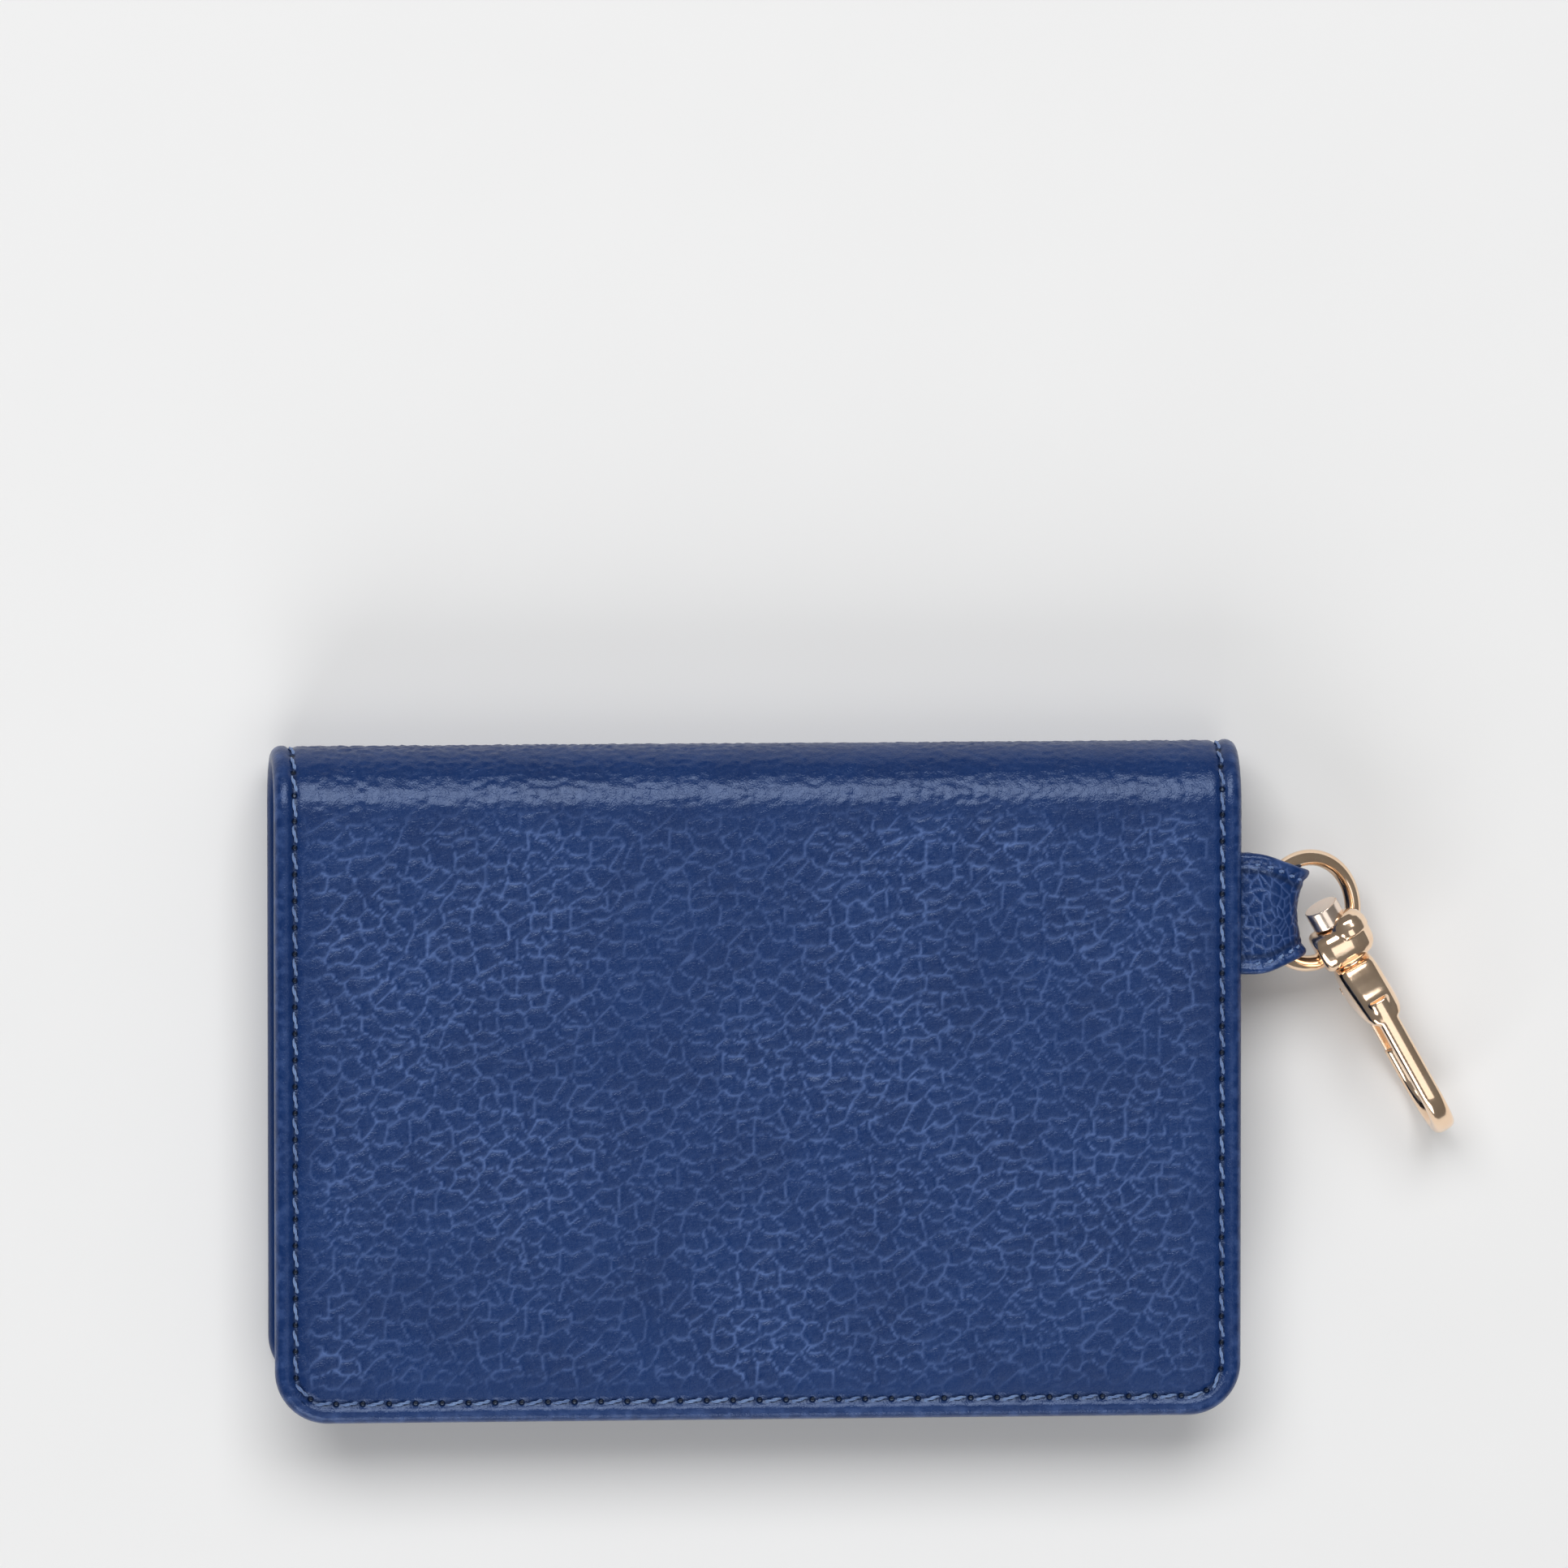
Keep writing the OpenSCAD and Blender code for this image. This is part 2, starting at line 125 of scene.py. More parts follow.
def value_noise(x, y, size, seed):
    """Smooth noise from -1 to 1 with features of that size."""
    gx, gy = x / size, y / size
    ix, iy = np.floor(gx).astype(np.int64), np.floor(gy).astype(np.int64)
    fx, fy = smooth(gx - ix), smooth(gy - iy)
    low = hash01(ix, iy, seed) * (1 - fx) + hash01(ix + 1, iy, seed) * fx
    high = hash01(ix, iy + 1, seed) * (1 - fx) + hash01(ix + 1, iy + 1, seed) * fx
    return 2 * (low * (1 - fy) + high * fy) - 1


def pebbles(x, y, cell_x, cell_y, seed):
    """Irregular cells. Gives the signed step to the nearest crease in millimetres along x and y,
    its length, the direction of the crease, the offset in the cell along y, and two random numbers."""
    gx = x / cell_x + 0.3 * value_noise(x, y, 4.3, seed + 5)
    gy = y / cell_y + 0.35 * value_noise(x, y, 4.9, seed + 6) - 0.30 * np.abs(np.sin(x * 1.2 + y * 0.7))
    ix, iy = np.floor(gx).astype(np.int64), np.floor(gy).astype(np.int64)
    near, second = np.full(x.shape, 9.0), np.full(x.shape, 9.0)
    sites = [np.zeros(x.shape) for _ in range(6)]
    for dj in range(-2, 3):
        for di in range(-2, 3):
            ci, cj = ix + di, iy + dj
            px = ci + 0.5 + 0.95 * (hash01(ci, cj, seed) - 0.5)
            py = cj + 0.5 + 0.95 * (hash01(ci, cj, seed + 1) - 0.5)
            number = hash01(ci, cj, seed + 2)
            d = np.hypot(gx - px, gy - py)
            first = d < near
            then = ~first & (d < second)
            for k, v in enumerate((px, py, number)):
                sites[k + 3] = np.where(first, sites[k], np.where(then, v, sites[k + 3]))
                sites[k] = np.where(first, v, sites[k])
            second = np.where(first, near, np.where(then, d, second))
            near = np.where(first, d, near)
    ax, ay, an, bx, by, bn = sites
    nx, ny = bx - ax, by - ay
    length = np.maximum(np.hypot(nx, ny), 1e-6)
    nx, ny = nx / length, ny / length
    gap = ((ax + bx) / 2 - gx) * nx + ((ay + by) / 2 - gy) * ny
    step_x, step_y = gap * nx * cell_x, gap * ny * cell_y
    return step_x, step_y, np.hypot(step_x, step_y), np.abs(ny), gy - ay, an, an + bn


def grain(x, y, cell_x, cell_y, depth, seed, line=0.15):
    """Height of pebbled leather in millimetres, and the strength of the painted highlight on its crease
    lines, 0 to 1.
    """
    _, _, gap, level, lean, number, pair = pebbles(x, y, cell_x, cell_y, seed)
    dome = 1 - np.exp(-((gap / (0.16 * cell_y)) ** 1.5))
    height = depth * (dome * (0.8 + 0.4 * number) - 0.8)
    height += depth * 0.45 * lean * dome
    strength = (0.8 + 0.2 * level) * (0.72 + 0.28 * np.abs(np.sin(3.1 * pair)))
    return height, strength * np.exp(-((gap / line) ** 2))


def snap_to_creases(x, y, cell_x, cell_y, seed, reach):
    """Moves grid points that lie beside a crease onto it, so that the mesh carries sharp creases."""
    step_x, step_y, gap, *_ = pebbles(x, y, cell_x, cell_y, seed)
    close = gap < reach
    return np.where(close, step_x, 0), np.where(close, step_y, 0)


# ---- meshes


def make_mesh(name, verts, faces, attributes=None, closed_flip=False):
    """A smooth mesh object from millimetre points, with point attributes."""
    mesh = bpy.data.meshes.new(name)
    if closed_flip:
        faces = [tuple(reversed(f)) for f in faces]
    mesh.from_pydata((np.asarray(verts) * MM).tolist(), [], [tuple(map(int, f)) for f in faces])
    for key, values in (attributes or {}).items():
        values = np.asarray(values, np.float32)
        kind = "FLOAT_VECTOR" if values.ndim == 2 else "FLOAT"
        field = mesh.attributes.new(key, kind, "POINT")
        field.data.foreach_set("vector" if values.ndim == 2 else "value", values.ravel())
    mesh.validate()
    mesh.shade_smooth()
    obj = bpy.data.objects.new(name, mesh)
    bpy.context.scene.collection.objects.link(obj)
    return obj


def grid_faces(rows, columns, offset=0):
    i, j = np.meshgrid(np.arange(rows - 1), np.arange(columns - 1), indexing="ij")
    a = (offset + i * columns + j).ravel()
    return np.stack([a, a + 1, a + columns + 1, a + columns], 1)


def border(index):
    """The points round a grid, in order."""
    return np.concatenate([index[:, 0][::-1], index[0, 1:], index[1:, -1], index[-1, -2:0:-1]])


def band_faces(lower, upper):
    """Quads between two closed loops of points."""
    return np.stack([lower, upper, np.roll(upper, -1), np.roll(lower, -1)], 1).tolist()


def tube_faces(rings, sides):
    """Faces of a closed tube of rings, with both ends capped."""
    faces = []
    for k in range(rings - 1):
        for i in range(sides):
            j = (i + 1) % sides
            faces.append((k * sides + i, k * sides + j, (k + 1) * sides + j, (k + 1) * sides + i))
    faces.append(tuple(reversed(range(sides))))
    faces.append(tuple(range((rings - 1) * sides, rings * sides)))
    return faces


def round_corners(x, s, half_x, s0, r):
    """Bends a rectangular grid so that its two corners at s0 follow a radius r."""
    u = np.clip((np.abs(x) - (half_x - r)) / r, 0, 1)
    v = np.clip((s0 + r - s) / r, 0, 1)
    inside = (u > 0) & (v > 0)
    new_x = np.where(inside, half_x - r + r * u * np.sqrt(1 - v * v / 2), np.abs(x))
    new_s = np.where(inside, s0 + r - r * v * np.sqrt(1 - u * u / 2), s)
    return np.sign(x) * new_x, new_s


class Half:
    """One half of the holder, unrolled: x across, s from the free edge to the middle of the fold."""

    def __init__(self, y0, up):
        self.y0 = y0
        self.up = up
        self.flat = SPINE_Y - y0
        self.length = self.flat + SPINE_R * math.pi / 2
        side = self.length - CORNER_R
        arc = (CORNER_R - STITCH_INSET) * math.pi / 2
        total = side + arc + HALF_W - CORNER_R
        self.side, self.arc, self.total = side, arc, total
        self.pitch = total / round(total / STITCH_PITCH)
        # the lower half lies on the table, so its relief is sunk into the leather
        self.sink = 0.40 if up < 0 else 0.0

    def place(self, x, s, depth):
        """Points of the holder, depth millimetres under its outer face."""
        t = np.clip((s - self.flat) / SPINE_R, 0, None)
        r = SPINE_R - depth
        y = np.where(s <= self.flat, self.y0 + s, SPINE_Y + r * np.sin(t))
        z = SPINE_R + self.up * r * np.cos(t)
        return np.stack(np.broadcast_arrays(x, y, z), -1)

    def edge_distance(self, x, s):
        """Distance from the holder's outline at its open sides."""
        ax = np.abs(x)
        corner = (ax > HALF_W - CORNER_R) & (s < CORNER_R)
        d = CORNER_R - np.hypot(ax - HALF_W + CORNER_R, CORNER_R - s)
        return np.where(corner, d, np.minimum(HALF_W - ax, s))

    def along(self, x, s):
        """Length along the stitch line from the middle of the fold."""
        ax = np.abs(x)
        on_side = self.length - s
        angle = np.arctan2(np.maximum(CORNER_R - s, 0), np.maximum(ax - HALF_W + CORNER_R, 1e-6))
        on_corner = self.side + (CORNER_R - STITCH_INSET) * angle
        on_end = self.side + self.arc + HALF_W - CORNER_R - ax
        corner = (ax > HALF_W - CORNER_R) & (s < CORNER_R)
        return np.where(corner, on_corner, np.where(HALF_W - ax < s, on_side, on_end))

    def stitch_point(self, a, side):
        """Point and direction of the stitch line at that length along it."""
        r = CORNER_R - STITCH_INSET
        if a < self.side:
            return side * (HALF_W - STITCH_INSET), self.length - a, (0, -1)
        if a < self.side + self.arc:
            t = (a - self.side) / r
            x = HALF_W - CORNER_R + r * math.cos(t)
            return side * x, CORNER_R - r * math.sin(t), (-side * math.sin(t), -math.cos(t))
        return side * (self.total - a), STITCH_INSET, (-side, 0)

    def grain_y(self, s):
        """One coordinate that runs on through the fold from this half to the other."""
        return self.up * (self.length - s)


def cover_relief(half, x, s):
    """Height of the outer leather over its plain face, and the strength of its painted crease highlight.
    """
    d = half.edge_distance(x, s)
    a = half.along(x, s)
    q = half.grain_y(s)
    height, crease_highlight = grain(x, q, *PEBBLE, 0.12, PEBBLE_SEED)
    fine, fine_crease_highlight = grain(x, q, 1.3, 1.0, 0.025, 47, 0.16)
    strength = 0.3 + 0.7 * smooth(d, 2.4, 6.0)
    strength = strength * (0.85 + 0.25 * value_noise(x, q, 13, 3))
    # over the fold the grain breaks up into smaller, rounder pebbles
    fold = smooth(s, half.flat - 3.0, half.flat + 1.5)
    height = strength * (height * (1 - 0.45 * fold) + fine * (1 + 3.5 * fold))
    crease_highlight = np.clip(crease_highlight + 0.35 * fine_crease_highlight, 0, 1) * np.clip(strength, 0, 1)
    height += 0.16 * smooth(d, 2.6, 7.0) * (1 - smooth(s, half.flat, half.flat + 5))
    height += 0.10 * bell(d, 1.35, 0.5)
    height -= 0.26 * bell(d, STITCH_INSET, 0.42)
    phase = a / half.pitch - np.round(a / half.pitch)
    hole = np.hypot(d - STITCH_INSET, phase * half.pitch)
    height -= 0.16 * bell(hole, 0, 0.55)
    height += 0.015 * value_noise(x, q, 9, 21) * smooth(d, 3, 8)
    # over the fold the painted crease highlight is faded, so the creases there keep the leather's dark
    # colour
    crease_highlight = crease_highlight * (1 - 0.75 * fold)
    height -= half.sink * smooth(half.length - s, 0, half.length - half.flat)
    return height, crease_highlight


def build_cover(name, half, step):
    """Outer leather of one half: a pebbled face, a rolled edge and the flap turned to the inside."""
    inset = ROLL_R
    half_x = HALF_W - inset
    columns = int(round(2 * half_x / step)) + 1
    rows = int(round((half.length - inset) / step)) + 1
    x, s = np.meshgrid(np.linspace(-half_x, half_x, columns), np.linspace(inset, half.length, rows))
    x, s = round_corners(x, s, half_x, inset, CORNER_R - inset)
    move_x, move_q = snap_to_creases(x, half.grain_y(s), *PEBBLE, PEBBLE_SEED, 0.45 * step)
    free = np.zeros(x.shape)
    free[1:-1, 1:-1] = 1
    x, s = x + free * move_x, s - half.up * free * move_q
    height, crease_highlight = cover_relief(half, x, s)
    points = [half.place(x, s, -height).reshape(-1, 3)]
    faces = grid_faces(rows, columns).tolist()
    flat = [np.stack([x, half.grain_y(s), 0 * x], -1).reshape(-1, 3)]
    fields = {
        "crease_highlight": [crease_highlight.ravel()],
        "edge": [half.edge_distance(x, s).ravel()],
        "along": [half.along(x, s).ravel() / half.pitch],
    }
    index = np.arange(rows * columns).reshape(rows, columns)
    loop = np.concatenate([index[::-1, 0], index[0, 1:-1], index[:, -1]])
    lx, ls, lh, lc = (v.ravel()[loop] for v in (x, s, height, crease_highlight))
    centre_x = np.clip(lx, -HALF_W + CORNER_R, HALF_W - CORNER_R)
    centre_s = np.maximum(ls, CORNER_R)
    ox = np.where(np.abs(lx) > HALF_W - CORNER_R, lx - centre_x, 0)
    os_ = np.where(ls < CORNER_R, ls - centre_s, 0)
    norm = np.hypot(ox, os_)
    ox, os_ = ox / norm, os_ / norm
    previous = loop
    start = rows * columns
    count = len(loop)
    angles = np.radians([18, 36, 54, 72, 90, 108, 126, 144, 162, 180])
    rings = [(ROLL_R * math.sin(t), ROLL_R * (1 - math.cos(t)), max(math.cos(t), 0)) for t in angles]
    rings += [(-0.5, EDGE_T, 0), (-1.2, EDGE_T + 0.03, 0), (ROLL_R - EDGE_W + 0.15, EDGE_T, 0),
              (ROLL_R - EDGE_W, EDGE_T - 0.12, 0), (ROLL_R - EDGE_W, LEATHER_T, 0)]
    fine = 0.04 * value_noise(lx * 1.3, ls * 1.3, 1.3, 8)
    for out, depth, keep in rings:
        rx, rs = lx + ox * out, ls + os_ * out
        points.append(half.place(rx, rs, depth - lh * keep + fine * (1 - keep) * (out > -2)))
        flat.append(np.stack([rx, half.grain_y(rs), np.full(count, depth)], -1))
        fields["crease_highlight"].append(lc * keep)
        inner = out <= ROLL_R and depth > ROLL_R
        fields["edge"].append(np.full(count, 30.0 if inner else inset - out))
        fields["along"].append(half.along(lx, ls) / half.pitch)
        ring = start + np.arange(count)
        faces += np.stack([previous[:-1], ring[:-1], ring[1:], previous[1:]], 1).tolist()
        previous = ring
        start += count
    straight = int(np.sum(ls[:rows] >= CORNER_R))
    for k in range(straight - 1):
        faces.append((previous[k], previous[-1 - k], previous[-2 - k], previous[k + 1]))
    faces.append(tuple(previous[straight - 1:count - straight + 1]))
    obj = make_mesh(name, np.concatenate(points), faces, {
        "flat": np.concatenate(flat), **{k: np.concatenate(v) for k, v in fields.items()}},
        closed_flip=half.up < 0)
    return obj


def thread_stitch(centre, along, across, normal, length, twist):
    """Two twisted strands that rise out of one needle hole and dive into the next."""
    points, faces = [], []
    steps, sides = 12, 6
    t = np.linspace(-1, 1, steps + 1)
    lift = 0.14 - 0.62 * np.abs(t) ** 2.6
    line = centre + np.outer(t * length / 2, along) + np.outer(lift, normal)
    for strand in range(2):
        angle = math.pi * strand + twist * math.pi * (t + 1)
        core = line + 0.085 * (np.outer(np.cos(angle), across) + np.outer(np.sin(angle), normal))
        for k in range(steps + 1):
            for i in range(sides):
                a = 2 * math.pi * i / sides
                points.append(core[k] + 0.125 * (math.cos(a) * across + math.sin(a) * normal))
        first = strand * (steps + 1) * sides
        faces += [tuple(first + i for i in face) for face in tube_faces(steps + 1, sides)]
    return np.array(points), faces


def build_stitches(name, spots):
    """One mesh of many stitches: (centre, direction, normal, length) in millimetres."""
    points, faces, shade = [], [], []
    offset = 0
    for k, (centre, along, normal, length) in enumerate(spots):
        along = along / np.linalg.norm(along)
        normal = normal / np.linalg.norm(normal)
        across = np.cross(normal, along)
        slant = 0.24 + 0.06 * math.sin(5.1 * k)
        turned = along * math.cos(slant) + across * math.sin(slant)
        p, f = thread_stitch(centre, turned, np.cross(normal, turned), normal, length, 1.25)
        points.append(p)
        faces += [tuple(i + offset for i in face) for face in f]
        shade.append(np.full(len(p), 0.5 + 0.5 * math.sin(12.9 * k)))
        offset += len(p)
    return make_mesh(name, np.concatenate(points), faces, {"shade": np.concatenate(shade)})


def cover_stitches(half):
    """Stitches of one half on its outer face, and their other side on the turned edge."""
    spots = []
    for side in (-1, 1):
        for i in range(int(round(half.total / half.pitch))):
            a = (i + 0.5) * half.pitch
            x, s, (dx, ds) = half.stitch_point(a, side)
            for depth, face in ((0.16 + half.sink, 1), (EDGE_T - 0.06, -1)):
                here, ahead = (half.place(np.array(x + k * dx), np.array(s + k * ds), depth)
                               for k in (0, 0.2))
                up = half.place(np.array(x), np.array(s), depth - face) - here
                spots.append((here, ahead - here, up, half.pitch - 0.7))
    return spots


def build_slab(name, half_x, y0, y1, z0, z1, r, step, face_up, relief=0.03, seed=70):
    """A thin panel with rolled edges, its two corners at y0 rounded, in the row frame."""
    roll = (z1 - z0) / 2
    hx = half_x - roll
    columns = int(round(2 * hx / step)) + 1
    rows = int(round((y1 - y0 - 2 * roll) / step)) + 1
    x, y = np.meshgrid(np.linspace(-hx, hx, columns), np.linspace(y0 + roll, y1 - roll, rows))
    x, y = round_corners(x, y, hx, y0 + roll, max(r - roll, 0.2))
    index = np.arange(rows * columns).reshape(rows, columns)
    loop = border(index)
    height, crease_highlight = grain(x, y, 0.95, 0.75, relief, seed)
    line = bell(y1 - y, MOUTH_SEAM, 0.35)
    height = height + 0.05 - 0.14 * line
    tops = np.where(face_up, z1, z0) + (1 if face_up else -1) * height
    other = np.full(x.shape, z0 if face_up else z1)
    count = len(loop)
    points = [np.stack([x, y, tops], -1).reshape(-1, 3)]
    faces = grid_faces(rows, columns).tolist()
    lx, ly = x.ravel()[loop], y.ravel()[loop]
    in_x, in_y = hx - max(r - roll, 0.2), y0 + roll + max(r - roll, 0.2)
    low = ly < in_y
    ox = np.where(np.abs(lx) >= hx - 1e-6, np.sign(lx), 0.0)
    oy = np.where(ly >= y1 - roll - 1e-6, 1.0, np.where(ly <= y0 + roll + 1e-6, -1.0, 0.0))
    corner = low & (np.abs(lx) > in_x)
    ox = np.where(corner, np.sign(lx) * (np.abs(lx) - in_x), ox)
    oy = np.where(corner, ly - in_y, oy)
    norm = np.hypot(ox, oy)
    ox, oy = ox / norm, oy / norm
    previous, start = loop, rows * columns
    face_z = z1 if face_up else z0
    direction = 1 if face_up else -1
    for t in np.radians([30, 60, 90, 120, 150]):
        z = face_z - direction * roll * (1 - math.cos(t))
        points.append(np.stack([lx + ox * roll * math.sin(t), ly + oy * roll * math.sin(t),
                                np.full(count, z)], -1))
        ring = start + np.arange(count)
        faces += band_faces(previous, ring)
        previous, start = ring, start + count
    back = start + index
    points.append(np.stack([x, y, other], -1).reshape(-1, 3))
    faces += [f[::-1] for f in grid_faces(rows, columns, start).tolist()]
    faces += band_faces(previous, back.ravel()[loop])
    total = start + rows * columns
    crease_highlight_all = np.zeros(total)
    # painted highlight: the mouth seam's line is added to the crease highlight
    crease_highlight_all[:rows * columns] = crease_highlight.ravel() + 0.6 * line.ravel()
    verts = np.concatenate(points)
    return verts, [tuple(f) for f in faces], crease_highlight_all, not face_up


def panel_mesh(name, verts, faces, crease_highlight):
    """A leather piece without a turned edge or a stitch groove of its own."""
    n = len(verts)
    return make_mesh(name, verts, faces, {"flat": verts, "crease_highlight": crease_highlight,
                                          "edge": np.full(n, 30.0), "along": np.full(n, 0.5)})


def panel_object(name, *parts):
    """One object made of several slabs."""
    verts, faces, crease_highlight, offset = [], [], [], 0
    for v, f, c, flip in parts:
        verts.append(v)
        faces += [tuple(i + offset for i in (reversed(face) if flip else face)) for face in f]
        crease_highlight.append(c)
        offset += len(v)
    return panel_mesh(name, np.concatenate(verts), faces, np.concatenate(crease_highlight))


# ---- materials


class Nodes:
    """Short calls for building one node material."""

    def __init__(self, name):
        self.material = bpy.data.materials.new(name)
        self.material.use_nodes = True
        self.tree = self.material.node_tree
        self.tree.nodes.clear()
        self.output = self.tree.nodes.new("ShaderNodeOutputMaterial")
        self.shader = self.tree.nodes.new("ShaderNodeBsdfPrincipled")
        self.link(self.shader.outputs[0], self.output.inputs[0])

    def link(self, a, b):
        self.tree.links.new(a, b)

    def put(self, value, socket):
        if isinstance(value, bpy.types.NodeSocket):
            self.link(value, socket)
        else:
            socket.default_value = value

    def attribute(self, name, vector=False):
        node = self.tree.nodes.new("ShaderNodeAttribute")
        node.attribute_name = name
        return node.outputs["Vector" if vector else "Fac"]

    def coordinates(self):
        return self.tree.nodes.new("ShaderNodeTexCoord").outputs["Object"]

    def math(self, operation, a, b=0.0, c=0.0):
        node = self.tree.nodes.new("ShaderNodeMath")
        node.operation = operation
        for value, socket in zip((a, b, c), node.inputs):
            self.put(value, socket)
        return node.outputs[0]

    def span(self, value, a, b, out_a=0.0, out_b=1.0):
        node = self.tree.nodes.new("ShaderNodeMapRange")
        node.interpolation_type = "SMOOTHSTEP"
        for socket, v in zip(node.inputs, (value, a, b, out_a, out_b)):
            self.put(v, socket)
        return node.outputs[0]

    def noise(self, vector, scale, detail=3.0, distortion=0.0):
        node = self.tree.nodes.new("ShaderNodeTexNoise")
        self.put(vector, node.inputs["Vector"])
        node.inputs["Scale"].default_value = scale
        node.inputs["Detail"].default_value = detail
        node.inputs["Distortion"].default_value = distortion
        return node.outputs["Fac"]

    def cells(self, vector, scale):
        node = self.tree.nodes.new("ShaderNodeTexVoronoi")
        node.feature = "DISTANCE_TO_EDGE"
        self.put(vector, node.inputs["Vector"])
        node.inputs["Scale"].default_value = scale
        return node.outputs["Distance"]

    def mix(self, factor, a, b):
        node = self.tree.nodes.new("ShaderNodeMix")
        node.data_type = "RGBA"
        self.put(factor, node.inputs["Factor"])
        self.put(a, node.inputs[6])
        self.put(b, node.inputs[7])
        return node.outputs[2]

    def scaled(self, vector, factors):
        node = self.tree.nodes.new("ShaderNodeMapping")
        self.put(vector, node.inputs["Vector"])
        node.inputs["Scale"].default_value = factors
        return node.outputs[0]

    def bump(self, height, distance, strength=1.0, normal=None):
        node = self.tree.nodes.new("ShaderNodeBump")
        node.inputs["Strength"].default_value = strength
        node.inputs["Distance"].default_value = distance * MM
        self.put(height, node.inputs["Height"])
        if normal is not None:
            self.link(normal, node.inputs["Normal"])
        return node.outputs[0]

    def finish(self, **sockets):
        for name, value in sockets.items():
            self.put(value, self.shader.inputs[name.replace("_", " ")])
        return self.material


def leather_material(name, dark, mid, light, fine_scale):
    """Pebbled, lightly glossy leather with a painted highlight on its crease lines, needle holes and a
    stitch groove darkened with painted shade, and a worn edge.
    """
    n = Nodes(name)
    flat = n.attribute("flat", vector=True)
    crease_highlight = n.math("POWER", n.attribute("crease_highlight"), 1.6)
    edge = n.attribute("edge")
    along = n.attribute("along")
    broad = n.noise(flat, 0.11, 4.0)
    patch = n.noise(flat, 0.7, 3.0)
    colour = n.mix(n.span(broad, 0.3, 0.7), dark, mid)
    colour = n.mix(n.span(patch, 0.35, 0.8, 0.0, 0.4), colour, mid)
    # painted highlight: the crease lines are lightened in the colour, as if they caught the lamp
    colour = n.mix(n.math("MULTIPLY", crease_highlight, n.span(patch, 0.3, 0.7, 0.6, 1.0)), colour, light)
    worn = n.math("MULTIPLY", n.span(edge, 1.9, 0.4, 0.0, 0.35), n.span(patch, 0.4, 0.7))
    colour = n.mix(worn, colour, light)
    phase = n.math("SUBTRACT", n.math("FRACT", n.math("ADD", along, 0.5)), 0.5)
    sideways = n.math("SUBTRACT", edge, STITCH_INSET)
    lengthways = n.math("MULTIPLY", phase, STITCH_PITCH)
    hole = n.math("SQRT", n.math("ADD", n.math("MULTIPLY", sideways, sideways),
                                 n.math("MULTIPLY", lengthways, lengthways)))
    # painted shade: the needle holes are darkened to near black in the colour; the same mask dents them
    # in the bump
    hole_dent_and_shade = n.span(hole, 0.42, 0.16, 0.0, 0.9)
    # painted shade: the stitch groove is darkened in the colour
    groove_shade = n.span(n.math("ABSOLUTE", sideways), 0.5, 0.1, 0.0, 0.6)
    colour = n.mix(groove_shade, colour, [c * 0.35 for c in dark[:3]] + [1])
    colour = n.mix(hole_dent_and_shade, colour, [0.001, 0.0015, 0.004, 1])
    pores = n.cells(flat, fine_scale)
    wrinkle = n.noise(flat, fine_scale * 0.8, 5.0, 0.6)
    normal = n.bump(n.span(pores, 0.0, 0.25), 0.010)
    normal = n.bump(wrinkle, 0.016, 0.8, normal)
    normal = n.bump(n.math("SUBTRACT", 1.0, hole_dent_and_shade), 0.12, 1.0, normal)
    rough = n.math("ADD", n.span(wrinkle, 0.2, 0.8, 0.27, 0.37), n.math("MULTIPLY", crease_highlight, 0.15))
    material = n.finish(Base_Color=colour, Roughness=rough, Normal=normal)
    n.shader.inputs["Specular IOR Level"].default_value = 0.66
    n.shader.inputs["Specular Tint"].default_value = (0.58, 0.72, 1.0, 1)
    return material


def thread_material():
    n = Nodes("thread")
    where = n.coordinates()
    shade = n.attribute("shade")
    colour = n.mix(shade, [0.07, 0.14, 0.33, 1], [0.14, 0.24, 0.47, 1])
    fibre = n.noise(n.scaled(where, (9000, 9000, 9000)), 1.0, 4.0, 0.5)
    colour = n.mix(n.span(fibre, 0.3, 0.8, 0.0, 0.6), colour, [0.24, 0.34, 0.58, 1])
    normal = n.bump(fibre, 0.05)
    material = n.finish(Base_Color=colour, Roughness=n.span(fibre, 0.2, 0.8, 0.35, 0.6), Normal=normal)
    n.shader.inputs["Sheen Weight"].default_value = 0.25
    return material


def gold_material(name, colour_a, colour_b, low, high):
    """Polished plated metal with faint waves, fine scratches and duller spots."""
    n = Nodes(name)
    where = n.scaled(n.coordinates(), (1000, 1000, 1000))
    cloud = n.noise(where, 0.35, 3.0)
    scratch = n.noise(n.scaled(where, (0.5, 9.0, 9.0)), 1.0, 4.0, 0.3)
    colour = n.mix(n.span(cloud, 0.3, 0.7), colour_a, colour_b)
    rough = n.math("ADD", n.span(cloud, 0.3, 0.8, low, high), n.span(scratch, 0.55, 0.8, 0.0, 0.05))
    normal = n.bump(scratch, 0.0015)
    normal = n.bump(n.noise(where, 0.4, 1.0), 0.005, 1.0, normal)
    material = n.finish(Base_Color=colour, Roughness=rough, Normal=normal)
    n.shader.inputs["Metallic"].default_value = 1.0
    return material


